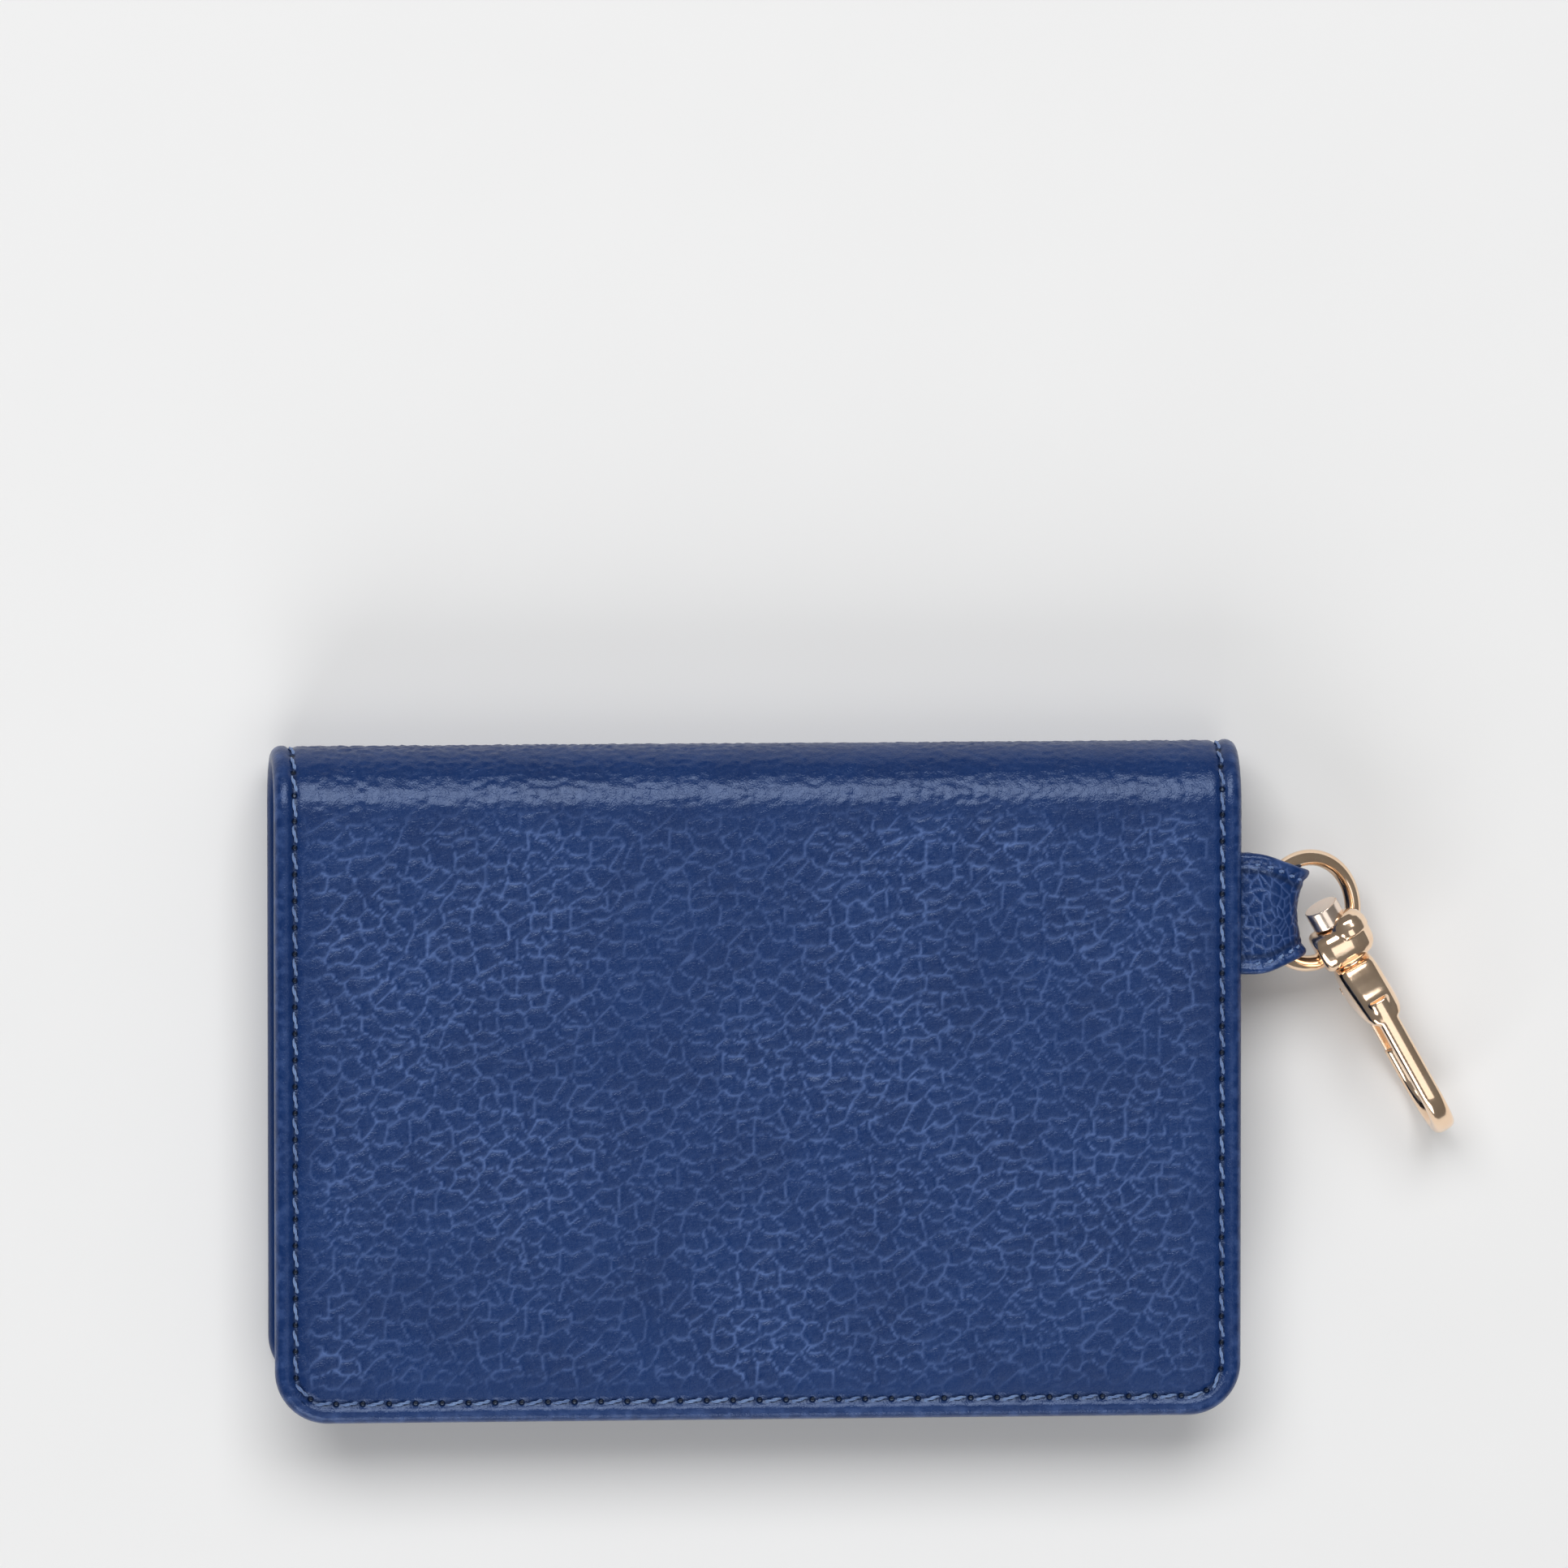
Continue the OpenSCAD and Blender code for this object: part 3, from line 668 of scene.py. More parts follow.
def lining_material():
    """Plain woven lining cloth."""
    n = Nodes("lining_cloth")
    flat = n.attribute("flat", vector=True)
    parts = n.tree.nodes.new("ShaderNodeSeparateXYZ")
    n.link(flat, parts.inputs[0])
    warp = n.math("SINE", n.math("MULTIPLY", parts.outputs[0], 13.0))
    weft = n.math("SINE", n.math("MULTIPLY", parts.outputs[1], 13.0))
    weave = n.math("MULTIPLY", warp, weft)
    slub = n.noise(n.scaled(flat, (0.3, 5.0, 1.0)), 1.0, 3.0)
    colour = n.mix(n.span(weave, -1.0, 1.0), [0.020, 0.045, 0.11, 1], [0.05, 0.09, 0.19, 1])
    colour = n.mix(n.span(slub, 0.4, 0.8, 0.0, 0.5), colour, [0.07, 0.12, 0.24, 1])
    normal = n.bump(n.math("ADD", weave, slub), 0.06)
    material = n.finish(Base_Color=colour, Roughness=n.span(slub, 0.2, 0.8, 0.6, 0.8), Normal=normal)
    n.shader.inputs["Sheen Weight"].default_value = 0.3
    return material


def film_material():
    """Clear soft plastic, faintly wavy."""
    n = Nodes("window_film")
    where = n.scaled(n.coordinates(), (1000, 1000, 1000))
    wave = n.noise(where, 0.12, 2.0)
    colour = n.mix(n.span(wave, 0.3, 0.7), [0.80, 0.86, 0.90, 1], [0.90, 0.94, 0.97, 1])
    material = n.finish(Base_Color=colour, Roughness=n.span(wave, 0.3, 0.7, 0.04, 0.12),
                        Normal=n.bump(wave, 0.4))
    n.shader.inputs["Transmission Weight"].default_value = 0.9
    n.shader.inputs["IOR"].default_value = 1.3
    return material


# the third colour of each leather is the painted crease highlight, and also the colour of its worn edges
DARK = [0.0008, 0.018, 0.098, 1]
MID = [0.0010, 0.023, 0.118, 1]
CREASE_HIGHLIGHT_AND_WEAR = [0.085, 0.150, 0.370, 1]
cover_leather = leather_material("pebbled_leather", DARK, MID, CREASE_HIGHLIGHT_AND_WEAR, 2.6)
pocket_leather = leather_material("pocket_leather", [0.004, 0.028, 0.105, 1],
                                  [0.007, 0.042, 0.145, 1], [0.03, 0.085, 0.24, 1], 4.0)
thread = thread_material()
gold = gold_material("plated_gold", [0.94, 0.68, 0.47, 1], [0.97, 0.74, 0.54, 1], 0.12, 0.18)
rivet_gold = gold_material("rivet_gold", [0.93, 0.76, 0.64, 1], [0.96, 0.82, 0.70, 1], 0.20, 0.30)
steel = gold_material("spring_steel", [0.55, 0.55, 0.57, 1], [0.68, 0.68, 0.70, 1], 0.22, 0.34)
lining_cloth = lining_material()
window_film = film_material()


def dress(obj, material):
    obj.data.materials.clear()
    obj.data.materials.append(material)
    return obj


# ---- holder

front = Half(COVER_LO[1], 1)
back = Half(BACK_LO[1], -1)
GRID = 0.32


def bend_with_fold(obj, half):
    """Bakes the piece's placement into its mesh, the same way for either half."""
    if half.up > 0:
        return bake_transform(obj)
    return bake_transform(obj)


def stand_for(obj, half, kind, *others):
    """The piece stands for its half's nodes; the front one stands for the spine's node as well."""
    label = "front" if half.up > 0 else "back"
    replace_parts(obj, f"{label}_{kind}", *(f"{label}_{other}" for other in others))
    if half.up > 0:
        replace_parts(obj, f"spine_{kind}")
    return bend_with_fold(obj, half)


for half, label in ((front, "front"), (back, "back")):
    cover = dress(build_cover(f"{label}_leather", half, GRID), cover_leather)
    stand_for(cover, half, "cover", "board")
    seam = dress(build_stitches(f"{label}_seam", cover_stitches(half)), thread)
    stand_for(seam, half, "stitching")


def build_lining(name, half):
    """Lining cloth of one half, glued down inside, as a thin sheet."""
    inset = EDGE_W + 0.1
    half_x = HALF_W - inset
    columns, rows = 105, 90
    x, s = np.meshgrid(np.linspace(-half_x, half_x, columns), np.linspace(inset, half.length, rows))
    x, s = round_corners(x, s, half_x, inset, CORNER_R - EDGE_W)
    step = smooth(s, half.flat - 2.5, half.flat + 0.5)
    ripple = 0.04 * value_noise(x, half.grain_y(s), 4, 31)
    inner = EDGE_T - 0.6 * step + ripple - 0.04
    points = np.concatenate([half.place(x, s, inner).reshape(-1, 3),
                             half.place(x, s, inner - 0.35).reshape(-1, 3)])
    count = rows * columns
    faces = [f[::-1] for f in grid_faces(rows, columns).tolist()]
    faces += grid_faces(rows, columns, count).tolist()
    index = np.arange(count).reshape(rows, columns)
    loop = border(index)
    nxt = np.roll(loop, -1)
    faces += np.stack([loop, nxt, nxt + count, loop + count], 1)[:, ::-1].tolist()
    flat = np.stack([x, half.grain_y(s), 0 * x], -1).reshape(-1, 3)
    return make_mesh(name, points, faces, {"flat": np.concatenate([flat, flat])},
                     closed_flip=half.up < 0)


for half, label in ((front, "front"), (back, "back")):
    obj = dress(build_lining(f"{label}_lining_cloth", half), lining_cloth)
    stand_for(obj, half, "lining")


# ---- pockets

def pocket_piece(obj, node):
    """Dresses a pocket's piece; the slots belong to the back half and the rest to the front."""
    dress(obj, pocket_leather)
    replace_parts(obj, node)
    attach(obj, "back" if node.startswith("slot") else "front")


for node in ("slot_panel_upper", "slot_panel_middle", "slot_panel_lower", "slip_panel"):
    lo, hi = node_box(node)
    up = node.startswith("slot")
    slab = build_slab(node, hi[0], lo[1], hi[1], lo[2], hi[2], PANEL_R, 0.55, up)
    pocket_piece(panel_object(f"{node}_leather", slab), node)

for node in ("slot_strips_upper", "slot_strips_middle", "slot_strips_lower",
             "window_strips", "slip_strips"):
    lo, hi = node_box(node)
    up = node.startswith("slot")
    width = STRIP_W
    parts = []
    for side in (-1, 1):
        v, f, c, flip = build_slab(node, width / 2, lo[1] + 3, hi[1], lo[2], hi[2], 0.3, 0.5, up)
        v = v + np.array([side * (hi[0] - width / 2), 0, 0])
        parts.append((v, f, c, flip))
    parts.append(build_slab(node, hi[0] - width - 0.1, lo[1], lo[1] + width, lo[2], hi[2], 0.3, 0.5, up))
    pocket_piece(panel_object(f"{node}_welt", *parts), node)


def build_frame():
    """Leather frame round the clear window, with a rolled edge outside and inside."""
    lo, hi = node_box("window_frame")
    film_lo, film_hi = node_box("id_window")
    open_x = film_hi[0] - FILM_LAP
    open_y0, open_y1 = film_lo[1] + FILM_LAP, film_hi[1] - FILM_LAP
    roll = (hi[2] - lo[2]) / 2

    def outline(hx, y0, y1, r, t):
        """Points of a rounded rectangle, with one quarter of t for each side and corner."""
        cx, cy = (hx - r), ((y0 + y1) / 2)
        hy = (y1 - y0) / 2
        a = 2 * math.pi * t
        c, s = np.cos(a), np.sin(a)
        k = 1 / np.maximum(np.abs(c) / hx, np.abs(s) / hy)
        px, py = c * k, s * k
        over_x, over_y = np.abs(px) - cx, np.abs(py) - (hy - r)
        corner = (over_x > 0) & (over_y > 0)
        length = np.maximum(np.hypot(over_x, over_y), 1e-9)
        px = np.where(corner, np.sign(px) * (cx + over_x / length * r), px)
        py = np.where(corner, np.sign(py) * (hy - r + over_y / length * r), py)
        return px, py + cy

    t = np.linspace(0, 1, 600, endpoint=False)
    outer = outline(hi[0], lo[1], hi[1], PANEL_R, t)
    inner = outline(open_x, open_y0, open_y1, 1.5, t)
    share = np.concatenate([[0.0, 0.004, 0.012, 0.03], np.linspace(0.06, 0.94, 40),
                            [0.97, 0.985, 0.995, 1.0]])
    rings, crease_highlight = [], []
    for face in (0, 1):
        for k in (share if face == 0 else share[::-1]):
            x = outer[0] + (inner[0] - outer[0]) * k
            y = outer[1] + (inner[1] - outer[1]) * k
            width = np.hypot(inner[0] - outer[0], inner[1] - outer[1])
            d = np.minimum(k, 1 - k) * width
            drop = roll - np.sqrt(np.maximum(roll ** 2 - np.maximum(roll - d, 0) ** 2, 0))
            height, line = grain(x, y, 0.95, 0.75, 0.03, 91)
            seam = bell((1 - k) * width, WINDOW_SEAM, 0.3)
            if face == 0:
                z = lo[2] + drop - (height - 0.1 * seam) * smooth(d, 0.1, 0.6)
            else:
                z = hi[2] - drop
            rings.append(np.stack([x, y, z], -1))
            # painted highlight: the creases and the window seam's line go into the crease highlight, on
            # the front face only
            crease_highlight.append(line * smooth(d, 0.1, 0.6) + 0.5 * seam if face == 0 else line * 0)
    verts = np.concatenate(rings)
    m, n = len(rings), len(t)
    faces = []
    for i in range(m):
        a, b = i * n + np.arange(n), ((i + 1) % m) * n + np.arange(n)
        faces += np.stack([a, np.roll(a, -1), np.roll(b, -1), b], 1)[:, ::-1].tolist()
    return panel_mesh("window_frame_leather", verts, faces, np.concatenate(crease_highlight))


pocket_piece(build_frame(), "window_frame")


def straight_seam(x0, x1, y0, y1, z, up, pitch=2.6):
    """Stitches along one straight line on a pocket."""
    length = math.hypot(x1 - x0, y1 - y0)
    count = int(round(length / pitch))
    along = np.array([x1 - x0, y1 - y0, 0]) / length
    normal = np.array([0, 0, 1.0 if up else -1.0])
    spots = []
    for i in range(count):
        k = (i + 0.5) / count
        centre = np.array([x0 + (x1 - x0) * k, y0 + (y1 - y0) * k, z])
        spots.append((centre - 0.1 * normal, along, normal, length / count - 0.5))
    return spots


def mouth_seam(lo, hi, z, up):
    """The seam beside a pocket's mouth."""
    y = hi[1] - MOUTH_SEAM
    return straight_seam(lo[0] + STRIP_W, hi[0] - STRIP_W, y, y, z, up)


slot_spots, front_spots = [], []
for node in ("slot_panel_upper", "slot_panel_middle", "slot_panel_lower"):
    lo, hi = node_box(node)
    slot_spots += mouth_seam(lo, hi, hi[2], True)
lo, hi = node_box("slip_panel")
front_spots += mouth_seam(lo, hi, lo[2], False)
film_lo, film_hi = node_box("id_window")
frame_lo, _ = node_box("window_frame")
reach = FILM_LAP - WINDOW_SEAM
window_x = film_hi[0] - reach
window_y0, window_y1 = film_lo[1] + reach, film_hi[1] - reach
for x0, x1, y0, y1 in ((-window_x, window_x, window_y1, window_y1),
                       (-window_x, -window_x, window_y0, window_y1),
                       (window_x, window_x, window_y0, window_y1)):
    front_spots += straight_seam(x0, x1, y0, y1, frame_lo[2], False)
slot_seam = dress(build_stitches("slot_seam", slot_spots), thread)
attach(slot_seam, "back")
window_seam = dress(build_stitches("window_seam", front_spots), thread)
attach(window_seam, "front")

dress(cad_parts["id_window"], window_film)


# ---- ring tab

TAB_LEN = 6.6
TAB_HALF_T = 2.4
TAB_FOLD_R = 2.2
TAB_DROOP = math.radians(20)
TAB_ROOT_W = 13.8
TAB_END_W = 9.2
STRAP_T = 0.62
TAB_SEAM = 1.25
TAB_ORIGIN = np.array([HALF_W + 1, 18.8, HOLDER_T - 2.6])
TAB_X = np.array([math.cos(TAB_DROOP), 0, -math.sin(TAB_DROOP)])
TAB_Z = np.array([math.sin(TAB_DROOP), 0, math.cos(TAB_DROOP)])


def tab_line():
    """The strap's middle line, seen from the side: out of the seam, round the fold and back."""
    half_t = TAB_HALF_T - STRAP_T / 2
    r = TAB_FOLD_R - STRAP_T / 2
    end = TAB_LEN - STRAP_T / 2
    top = [(-4.8, 0.62), (-3.0, 0.62), (-1.0, 0.55), (-0.2, 0.62), (0.6, 1.15), (1.4, 1.80),
           (2.2, half_t - 0.04), (3.2, half_t), (end - r, half_t)]
    arc = [(end - r + r * math.sin(a), half_t - r + r * math.cos(a))
           for a in np.radians([20, 40, 60, 80])]
    upper = top + arc
    line = upper + [(end, 0.0)] + [(x, -z) for x, z in reversed(upper)]
    line = np.array(line)
    for _ in range(3):
        new = np.empty((2 * len(line) - 2, 2))
        new[0::2] = 0.75 * line[:-1] + 0.25 * line[1:]
        new[1::2] = 0.25 * line[:-1] + 0.75 * line[1:]
        line = new
    length = np.concatenate([[0], np.cumsum(np.hypot(*np.diff(line, axis=0).T))])
    steps = int(length[-1] / (0.16))
    t = np.linspace(0, length[-1], steps)
    return np.stack([np.interp(t, length, line[:, 0]), np.interp(t, length, line[:, 1])], 1), t


def tab_half_width(x):
    return (TAB_ROOT_W - (TAB_ROOT_W - TAB_END_W) * smooth(x, 0.0, TAB_LEN + 0.8)) / 2


def tab_point(x, z, b):
    """A point of the tab from its side view and its place across, in the row frame."""
    reach = np.where(b > 0, 0.9, 0.45) * b ** 2
    hollow = smooth(x, 2.0, TAB_LEN) * (0.75 * (1 - b ** 2) - reach)
    lift = 0.12 * smooth(x, 2.0, 5.0) * b ** 4 * np.sign(z)
    level = smooth(x, -1.2, 0.6)
    bend_x = level * TAB_X[0] + (1 - level)
    bend_z = level * TAB_X[2]
    x2 = x - hollow
    base = x2[..., None] * np.stack([bend_x, 0 * x, bend_z], -1)
    up = (z + lift)[..., None] * (level[..., None] * TAB_Z + (1 - level[..., None]) * np.array([0, 0, 1]))
    across = (b * tab_half_width(x))[..., None] * np.array([0, 1.0, 0])
    return TAB_ORIGIN + base + up + across


def build_tab():
    line, t = tab_line()
    tangent = np.gradient(line, axis=0)
    tangent /= np.linalg.norm(tangent, axis=1)[:, None]
    normal = np.stack([-tangent[:, 1], tangent[:, 0]], 1)
    face = np.linspace(-1, 1, 85)
    ring_b = np.concatenate([face, face[::-1]])
    side = np.concatenate([np.ones(len(face)), -np.ones(len(face))])
    tt, bb = np.meshgrid(t, ring_b, indexing="ij")
    sd = np.broadcast_to(side, tt.shape)
    lx = np.broadcast_to(line[:, 0][:, None], tt.shape)
    lz = np.broadcast_to(line[:, 1][:, None], tt.shape)
    width = tab_half_width(lx)
    from_edge = (1 - np.abs(bb)) * width
    half_t = STRAP_T / 2 * np.sqrt(np.clip(1 - np.clip(1 - from_edge / 0.33, 0, 1) ** 2, 0.02, 1))
    height, crease_highlight = grain(bb * width + 0.2 * np.sin(tt), tt, 1.25, 1.0, 0.08, 63, 0.12)
    seam = bell(from_edge, TAB_SEAM, 0.28)
    relief = (height * smooth(from_edge, 0.1, 0.9) - 0.13 * seam
              + 0.10 * bell(from_edge, 0.55, 0.4) * smooth(from_edge, 0.1, 0.4))
    thick = half_t + np.where(sd > 0, relief, 0)
    x = lx + np.broadcast_to(normal[:, 0][:, None], tt.shape) * thick * sd
    z = lz + np.broadcast_to(normal[:, 1][:, None], tt.shape) * thick * sd
    points = tab_point(x, z, bb).reshape(-1, 3)
    rows, ring = tt.shape
    faces = []
    for i in range(rows - 1):
        a = i * ring + np.arange(ring)
        faces += np.stack([a, a + ring, np.roll(a + ring, -1), np.roll(a, -1)], 1)[:, ::-1].tolist()
    faces.append(tuple(range(ring)))
    faces.append(tuple(reversed(range((rows - 1) * ring, rows * ring))))
    flat = np.stack([bb * width, tt, sd], -1).reshape(-1, 3)
    # the crease mask carries the painted crease highlight, on the strap's outer face only
    return make_mesh("tab_strap", points, faces, {
        "flat": flat, "crease_highlight": (crease_highlight * (sd > 0) * smooth(from_edge, 0.1, 0.9)).ravel(),
        "edge": (from_edge + 0.3).ravel(), "along": np.full(tt.size, 0.5)})


def tab_stitches():
    line, _ = tab_line()
    upper = line[:np.argmax(line[:, 0])]

    def top(x):
        """Height of the strap's outer face over the tab's middle plane."""
        return np.interp(x, upper[:, 0], upper[:, 1]) + STRAP_T / 2

    spots = []
    for side in (-1, 1):
        for x in (0.5, 1.75, 3.0, 4.25, 5.3):
            for face in (1, -1):
                here, ahead, above = (
                    tab_point(np.array(a), np.array(face * b),
                              np.array(side * (1 - TAB_SEAM / tab_half_width(a))))
                    for a, b in ((x, top(x) - 0.14), (x + 0.2, top(x + 0.2) - 0.14),
                                 (x, top(x) + 0.3)))
                spots.append((here, ahead - here, above - here, 0.95))
    return spots


tab = dress(build_tab(), cover_leather)
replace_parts(tab, "ring_tab", "tab_anchor")
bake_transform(tab)
tab_seam = dress(build_stitches("tab_seam", tab_stitches()), thread)
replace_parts(tab_seam, "tab_stitching")
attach(tab_seam, "tab")


# ---- hardware


def cast(obj, name, body, material, voxel, rounds, cutters=()):
    """Melts overlapping solids into one smooth casting, cuts it, and rounds its edges."""
    size = voxel * MM * 1

    def remesh():
        modifier = obj.modifiers.new("remesh", "REMESH")
        modifier.mode = "VOXEL"
        modifier.voxel_size = size

    remesh()
    for cutter in cutters:
        cut = obj.modifiers.new("cut", "BOOLEAN")
        cut.operation = "DIFFERENCE"
        cut.solver = "FAST"
        cut.object = cutter
    if cutters:
        remesh()
    relax = obj.modifiers.new("relax", "SMOOTH")
    relax.factor = 0.5
    relax.iterations = rounds
    dg = bpy.context.evaluated_depsgraph_get()
    mesh = bpy.data.meshes.new_from_object(obj.evaluated_get(dg))
    obj.modifiers.clear()
    obj.data = mesh
    for cutter in cutters:
        bpy.data.objects.remove(cutter)
    obj.name = mesh.name = name
    mesh.shade_smooth()
    dress(obj, material)
    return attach(obj, body)


def cast_copy(node, name, body, material, voxel, rounds):
    """A softened copy of a CAD metal part."""
    obj = bpy.data.objects.new(name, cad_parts[node].data.copy())
    bpy.context.scene.collection.objects.link(obj)
    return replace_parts(cast(obj, name, body, material, voxel, rounds), node)


def rotation(axis, degrees):
    return np.array(Matrix.Rotation(math.radians(degrees), 3, axis))


CLASP = rotation("Z", -60) @ rotation("Y", 11.6) @ rotation("X", -1)
CLASP_POS = np.array([67.2, 14.4, 10.0])


def in_clasp(points):
    """From the clasp's own frame, x to the tip and z to the top of the hook, to the row frame."""
    return np.asarray(points) @ CLASP.T + CLASP_POS


def sweep(centres, first, second, half_a, half_b, power, sides=40):
    """A solid of rounded sections about a line; first and second are the section's two directions."""
    g = np.linspace(0, 2 * math.pi, sides, endpoint=False)
    ca = np.sign(np.cos(g)) * np.abs(np.cos(g)) ** (2 / power)
    cb = np.sign(np.sin(g)) * np.abs(np.sin(g)) ** (2 / power)
    points = []
    for c, p, q, a, b in zip(centres, first, second, half_a, half_b):
        points.append(np.asarray(c) + np.outer(ca * a, p) + np.outer(cb * b, q))
    return np.concatenate(points), tube_faces(len(points), sides)


def solids(name, parts):
    """One object of several closed solids, each turned so that its faces point outwards."""
    verts, faces, offset = [], [], 0
    for v, f in parts:
        v = np.asarray(v)
        volume = sum(np.dot(v[g[0]], np.cross(v[g[i]], v[g[i + 1]]))
                     for g in f for i in range(1, len(g) - 1))
        verts.append(v)
        faces += [tuple(i + offset for i in (g if volume > 0 else g[::-1])) for g in f]
        offset += len(v)
    return make_mesh(name, in_clasp(np.concatenate(verts)), faces)


def block(x0, x1, y0, y1, z0, z1):
    v = [(x, y, z) for x in (x0, x1) for y in (y0, y1) for z in (z0, z1)]
    return v, [(0, 1, 3, 2), (4, 6, 7, 5), (0, 4, 5, 1), (2, 3, 7, 6), (0, 2, 6, 4), (1, 5, 7, 3)]


def resample(xs, count, *rows):
    t = np.linspace(xs[0], xs[-1], count)
    return [t] + [np.interp(t, xs, row) for row in rows]


def rod(radius, x0, x1):
    return sweep(np.array([(x0, 0, 0), (x1, 0, 0)]), [(0, 1, 0)] * 2, [(0, 0, 1)] * 2,
                 [radius] * 2, [radius] * 2, 2, 48)


HOOK_R, ARM_H, ARM_T = 6.3, 2.0, 2.4
TIP_X = 18.3
GATE_X = 14.6
PIN_X, PIN_Z = 5.6, -4.2


def hook_parts():
    """Rounded shoulder, web, and the arm that runs round the tip to the gate."""
    xs = [1.5, 1.7, 2.1, 2.7, 3.4, 4.2, 5.1, 6.0, 7.0, 7.7, 8.0]
    x, hy, hz = resample(
        xs, 60,
        [1.95, 2.2, 2.3, 2.35, 2.38, 2.38, 2.38, 2.38, 2.35, 2.15, 1.7],
        [1.95, 2.2, 2.5, 3.05, 3.8, 4.6, 5.35, 5.9, 6.2, 6.25, 6.1])
    n = len(x)
    shoulder = sweep(np.stack([x, 0 * x, 0 * x], 1), [(0, 1, 0)] * n, [(0, 0, 1)] * n, hy, hz, 4.2)
    neck = rod(1.7, -0.1, 2.6)
    web = block(5.0, 8.25, -ARM_T / 2, ARM_T / 2, -5.4, 5.4)
    mid = HOOK_R - ARM_H / 2
    turn_angles = np.linspace(math.pi / 2, -math.pi / 2, 50)
    line = [(v, mid) for v in np.linspace(5.2, TIP_X, 40)[:-1]]
    line += [(TIP_X + mid * math.cos(a), mid * math.sin(a)) for a in turn_angles]
    line += [(v, -mid) for v in np.linspace(TIP_X, GATE_X + 0.2, 14)[1:]]
    line = np.array(line)
    tangent = np.gradient(line, axis=0)
    tangent /= np.linalg.norm(tangent, axis=1)[:, None]
    out = np.stack([-tangent[:, 1], 0 * tangent[:, 0], tangent[:, 0]], 1)
    m = len(line)
    swell = 1 + 0.10 * bell(np.arange(m), m * 0.62, 0.12 * m)
    arm = sweep(np.stack([line[:, 0], 0 * line[:, 0], line[:, 1]], 1), [(0, 1, 0)] * m, out,
                np.full(m, ARM_T / 2 + 0.02) * swell, np.full(m, ARM_H / 2), 2.7)
    return [shoulder, neck, web, arm]


slot_cut = solids("slot_cut", [block(PIN_X - 1.45, GATE_X + 0.15, -1.4, 1.4, -HOOK_R - 1,
                                     PIN_Z + 1.45)])
hook = cast(solids("hook", hook_parts()), "hook_casting", "hook", gold, 0.11, 14,
            [slot_cut])
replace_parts(hook, "hook_body")

RING_R, WIRE_R = 6.05, 0.92
RING_DROOP = math.radians(27)
RING_OUT = np.array([math.cos(RING_DROOP), 0, -math.sin(RING_DROOP)])
RING_SIDE = np.array([0, 1.0, 0])
RING_UP = np.array([math.sin(RING_DROOP), 0, math.cos(RING_DROOP)])
RING_SEAT_X = 2.0
RING_CENTRE = TAB_ORIGIN + RING_SEAT_X * TAB_X + RING_R * RING_OUT


def build_ring():
    """Round wire ring with a faint butt seam where it is closed, hidden inside the tab."""
    around, sides = 240, 48
    f, g = np.meshgrid(np.linspace(0, 2 * math.pi, around, endpoint=False),
                       np.linspace(0, 2 * math.pi, sides, endpoint=False), indexing="ij")
    wire = WIRE_R * (1 - 0.07 * bell(f, math.pi, 0.03))
    out = RING_R + wire * np.cos(g)
    radial = np.cos(f)[..., None] * RING_OUT + np.sin(f)[..., None] * RING_SIDE
    points = (RING_CENTRE + out[..., None] * radial
              + (wire * np.sin(g))[..., None] * RING_UP).reshape(-1, 3)
    i, j = np.meshgrid(np.arange(around), np.arange(sides), indexing="ij")
    next_i, next_j = (i + 1) % around, (j + 1) % sides
    faces = np.stack([i * sides + j, next_i * sides + j, next_i * sides + next_j,
                      i * sides + next_j], -1).reshape(-1, 4)
    return make_mesh("ring_wire", points, faces.tolist())


ring = dress(build_ring(), gold)
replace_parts(ring, "o_ring")
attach(ring, "ring")


def ring_arc(wire, a0, a1, steps=60, sides=32):
    """A closed tube round part of the ring's line, in the clasp's frame."""
    f = np.radians(np.linspace(a0, a1, steps))
    out = np.outer(np.cos(f), RING_OUT) + np.outer(np.sin(f), RING_SIDE)
    g = np.linspace(0, 2 * math.pi, sides, endpoint=False)
    points = [RING_CENTRE + RING_R * o + wire * (np.outer(np.cos(g), o) + np.outer(np.sin(g), RING_UP))
              for o in out]
    return (np.concatenate(points) - CLASP_POS) @ CLASP, tube_faces(steps, sides)


def eye_parts():
    """Cross barrel with a rounded end, and the lug that holds the ring, in the clasp's frame."""
    ys = [-3.0, -2.9, -2.5, -1.6, -0.4, 0.8, 1.8, 2.7, 3.3, 3.6, 3.7]
    y, hx, hz = resample(
        ys, 60,
        [1.7, 2.1, 2.38, 2.45, 2.5, 2.5, 2.45, 2.2, 1.7, 1.1, 0.5],
        [1.9, 2.15, 2.45, 2.75, 2.9, 2.95, 2.85, 2.45, 1.75, 1.1, 0.5])
    n = len(y)
    barrel = sweep(np.stack([0 * y - 1.15, y, 0 * y + 0.1], 1), [(1, 0, 0)] * n, [(0, 0, 1)] * n,
                   hx, hz, 2.7)
    x, r = resample([-4.55, -4.4, -3.8, -2.9, -2.0], 30, [0.6, 1.2, 1.9, 2.25, 2.3])
    m = len(x)
    ball = sweep(np.stack([x, 0 * x + 1.5, 0 * x + 1.0], 1), [(0, 1, 0)] * m, [(0, 0, 1)] * m, r, r, 2)
    lug = ring_arc(2.1, -50, -14)
    x2 = np.linspace(-3.3, -0.5, 20)
    r2 = 1.7 * np.sqrt(np.clip(1 - ((x2 + 1.9) / 1.7) ** 2, 0.05, 1))
    knob = sweep(np.stack([x2, 0 * x2 + 1.2, 0 * x2 - 2.7], 1), [(0, 1, 0)] * 20, [(0, 0, 1)] * 20,
                 r2, r2, 2)
    return [barrel, ball, knob, lug], ring_arc(1.25, -85, 25)


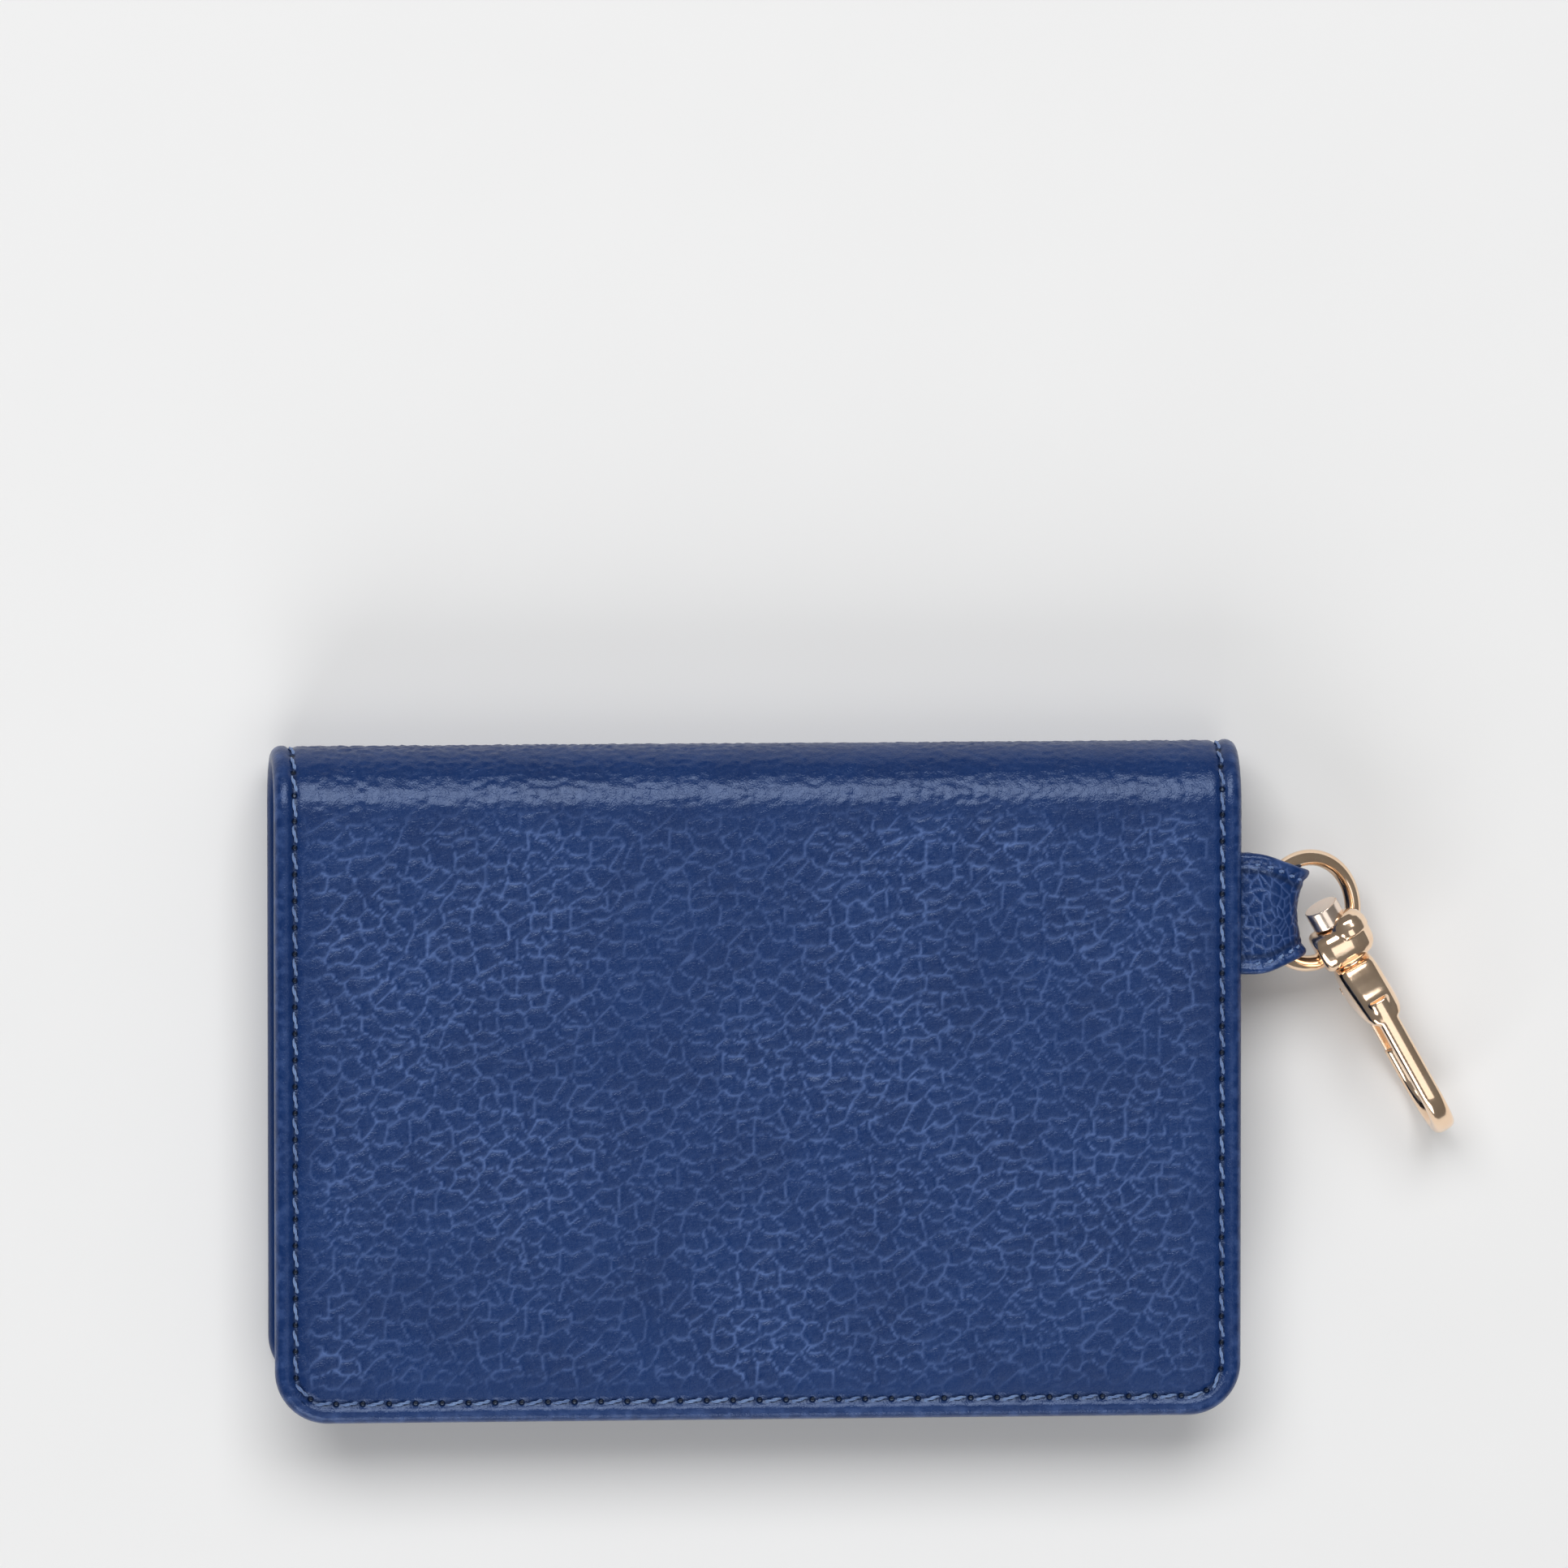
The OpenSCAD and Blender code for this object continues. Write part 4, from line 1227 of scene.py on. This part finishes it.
parts, tunnel = eye_parts()
cuts = [solids("tunnel", [tunnel]), solids("rivet_way", [rod(2.2, -9, -3.65)])]
eye = cast(solids("eye", parts), "eye_casting", "eye", gold, 0.10, 8, cuts)
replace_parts(eye, "swivel_eye")
cast_copy("swivel_rivet", "rivet_post", "hook", rivet_gold, 0.07, 7)
cast_copy("gate_pin", "gate_axle", "hook", gold, 0.06, 3)
cast_copy("gate_lever", "gate_bar", "gate", gold, 0.08, 8)
cast_copy("gate_spring", "gate_coils", "hook", steel, 0.05, 2)


# ---- floor, light and camera

floor_mesh = bpy.data.meshes.new("floor")
floor_mesh.from_pydata([(-6, -6, 0), (6, -6, 0), (6, 6, 0), (-6, 6, 0)], [], [(0, 1, 2, 3)])
floor = bpy.data.objects.new("floor", floor_mesh)
bpy.context.scene.collection.objects.link(floor)
n = Nodes("pale_floor")
paper = n.noise(n.coordinates(), 40.0, 3.0)
floor_mesh.materials.append(n.finish(
    Base_Color=n.mix(paper, [0.86, 0.86, 0.86, 1], [0.88, 0.88, 0.88, 1]), Roughness=0.9))
n.shader.inputs["Specular IOR Level"].default_value = 0.0
floor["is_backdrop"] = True

world = bpy.data.worlds.new("studio")
bpy.context.scene.world = world
world.use_nodes = True
sky = world.node_tree
sky_place = sky.nodes.new("ShaderNodeTexCoord")
sky_parts = sky.nodes.new("ShaderNodeSeparateXYZ")
sky_span = sky.nodes.new("ShaderNodeMapRange")
sky_span.inputs["From Min"].default_value, sky_span.inputs["From Max"].default_value = 0.25, 0.97
sky_span.inputs["To Min"].default_value, sky_span.inputs["To Max"].default_value = 0.18, 0.22
sky.nodes["Background"].inputs[0].default_value = (1, 1, 1, 1)
sky.links.new(sky_place.outputs["Generated"], sky_parts.inputs[0])
sky.links.new(sky_parts.outputs[2], sky_span.inputs[0])
sky.links.new(sky_span.outputs[0], sky.nodes["Background"].inputs[1])


def softbox(name, place, target, size_x, size_y, power):
    light = bpy.data.lights.new(name, "AREA")
    light.shape = "RECTANGLE"
    light.size, light.size_y = size_x, size_y
    light.energy = power
    obj = bpy.data.objects.new(name, light)
    bpy.context.scene.collection.objects.link(obj)
    obj.location = place
    obj.rotation_mode = "QUATERNION"
    obj.rotation_quaternion = (Vector(target) - Vector(place)).to_track_quat("-Z", "Y")


softbox("key", (-0.20, 1.10, 1.76), (0, 0, 0), 1.9, 1.05, 33.0)
softbox("metal_fill", (0.42, -0.72, 1.85), (0.07, 0, 0), 1.0, 0.9, 3.2)
softbox("front", (-0.5, -1.7, 0.9), (0, 0, 0), 1.6, 0.9, 16.0)

scene = bpy.context.scene
scene.view_settings.view_transform = "Standard"
camera = bpy.data.cameras.new("camera")
camera.lens = 406
camera.sensor_width = 36
camera.clip_end = 20
camera_obj = bpy.data.objects.new("camera", camera)
scene.collection.objects.link(camera_obj)
scene.camera = camera_obj
target = Vector((0.00275, 0.0341, 0.014))
direction = Vector((-0.0924, 0.075, 0.993)).normalized()
camera_obj.location = target + 2.0 * direction
camera_obj.rotation_mode = "QUATERNION"
forward = -direction
right = forward.cross(Vector((0, 1, 0))).normalized()
up = right.cross(forward)
turn = Matrix((right, up, -forward)).transposed()
camera_obj.rotation_quaternion = turn.to_quaternion()

lo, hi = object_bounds()
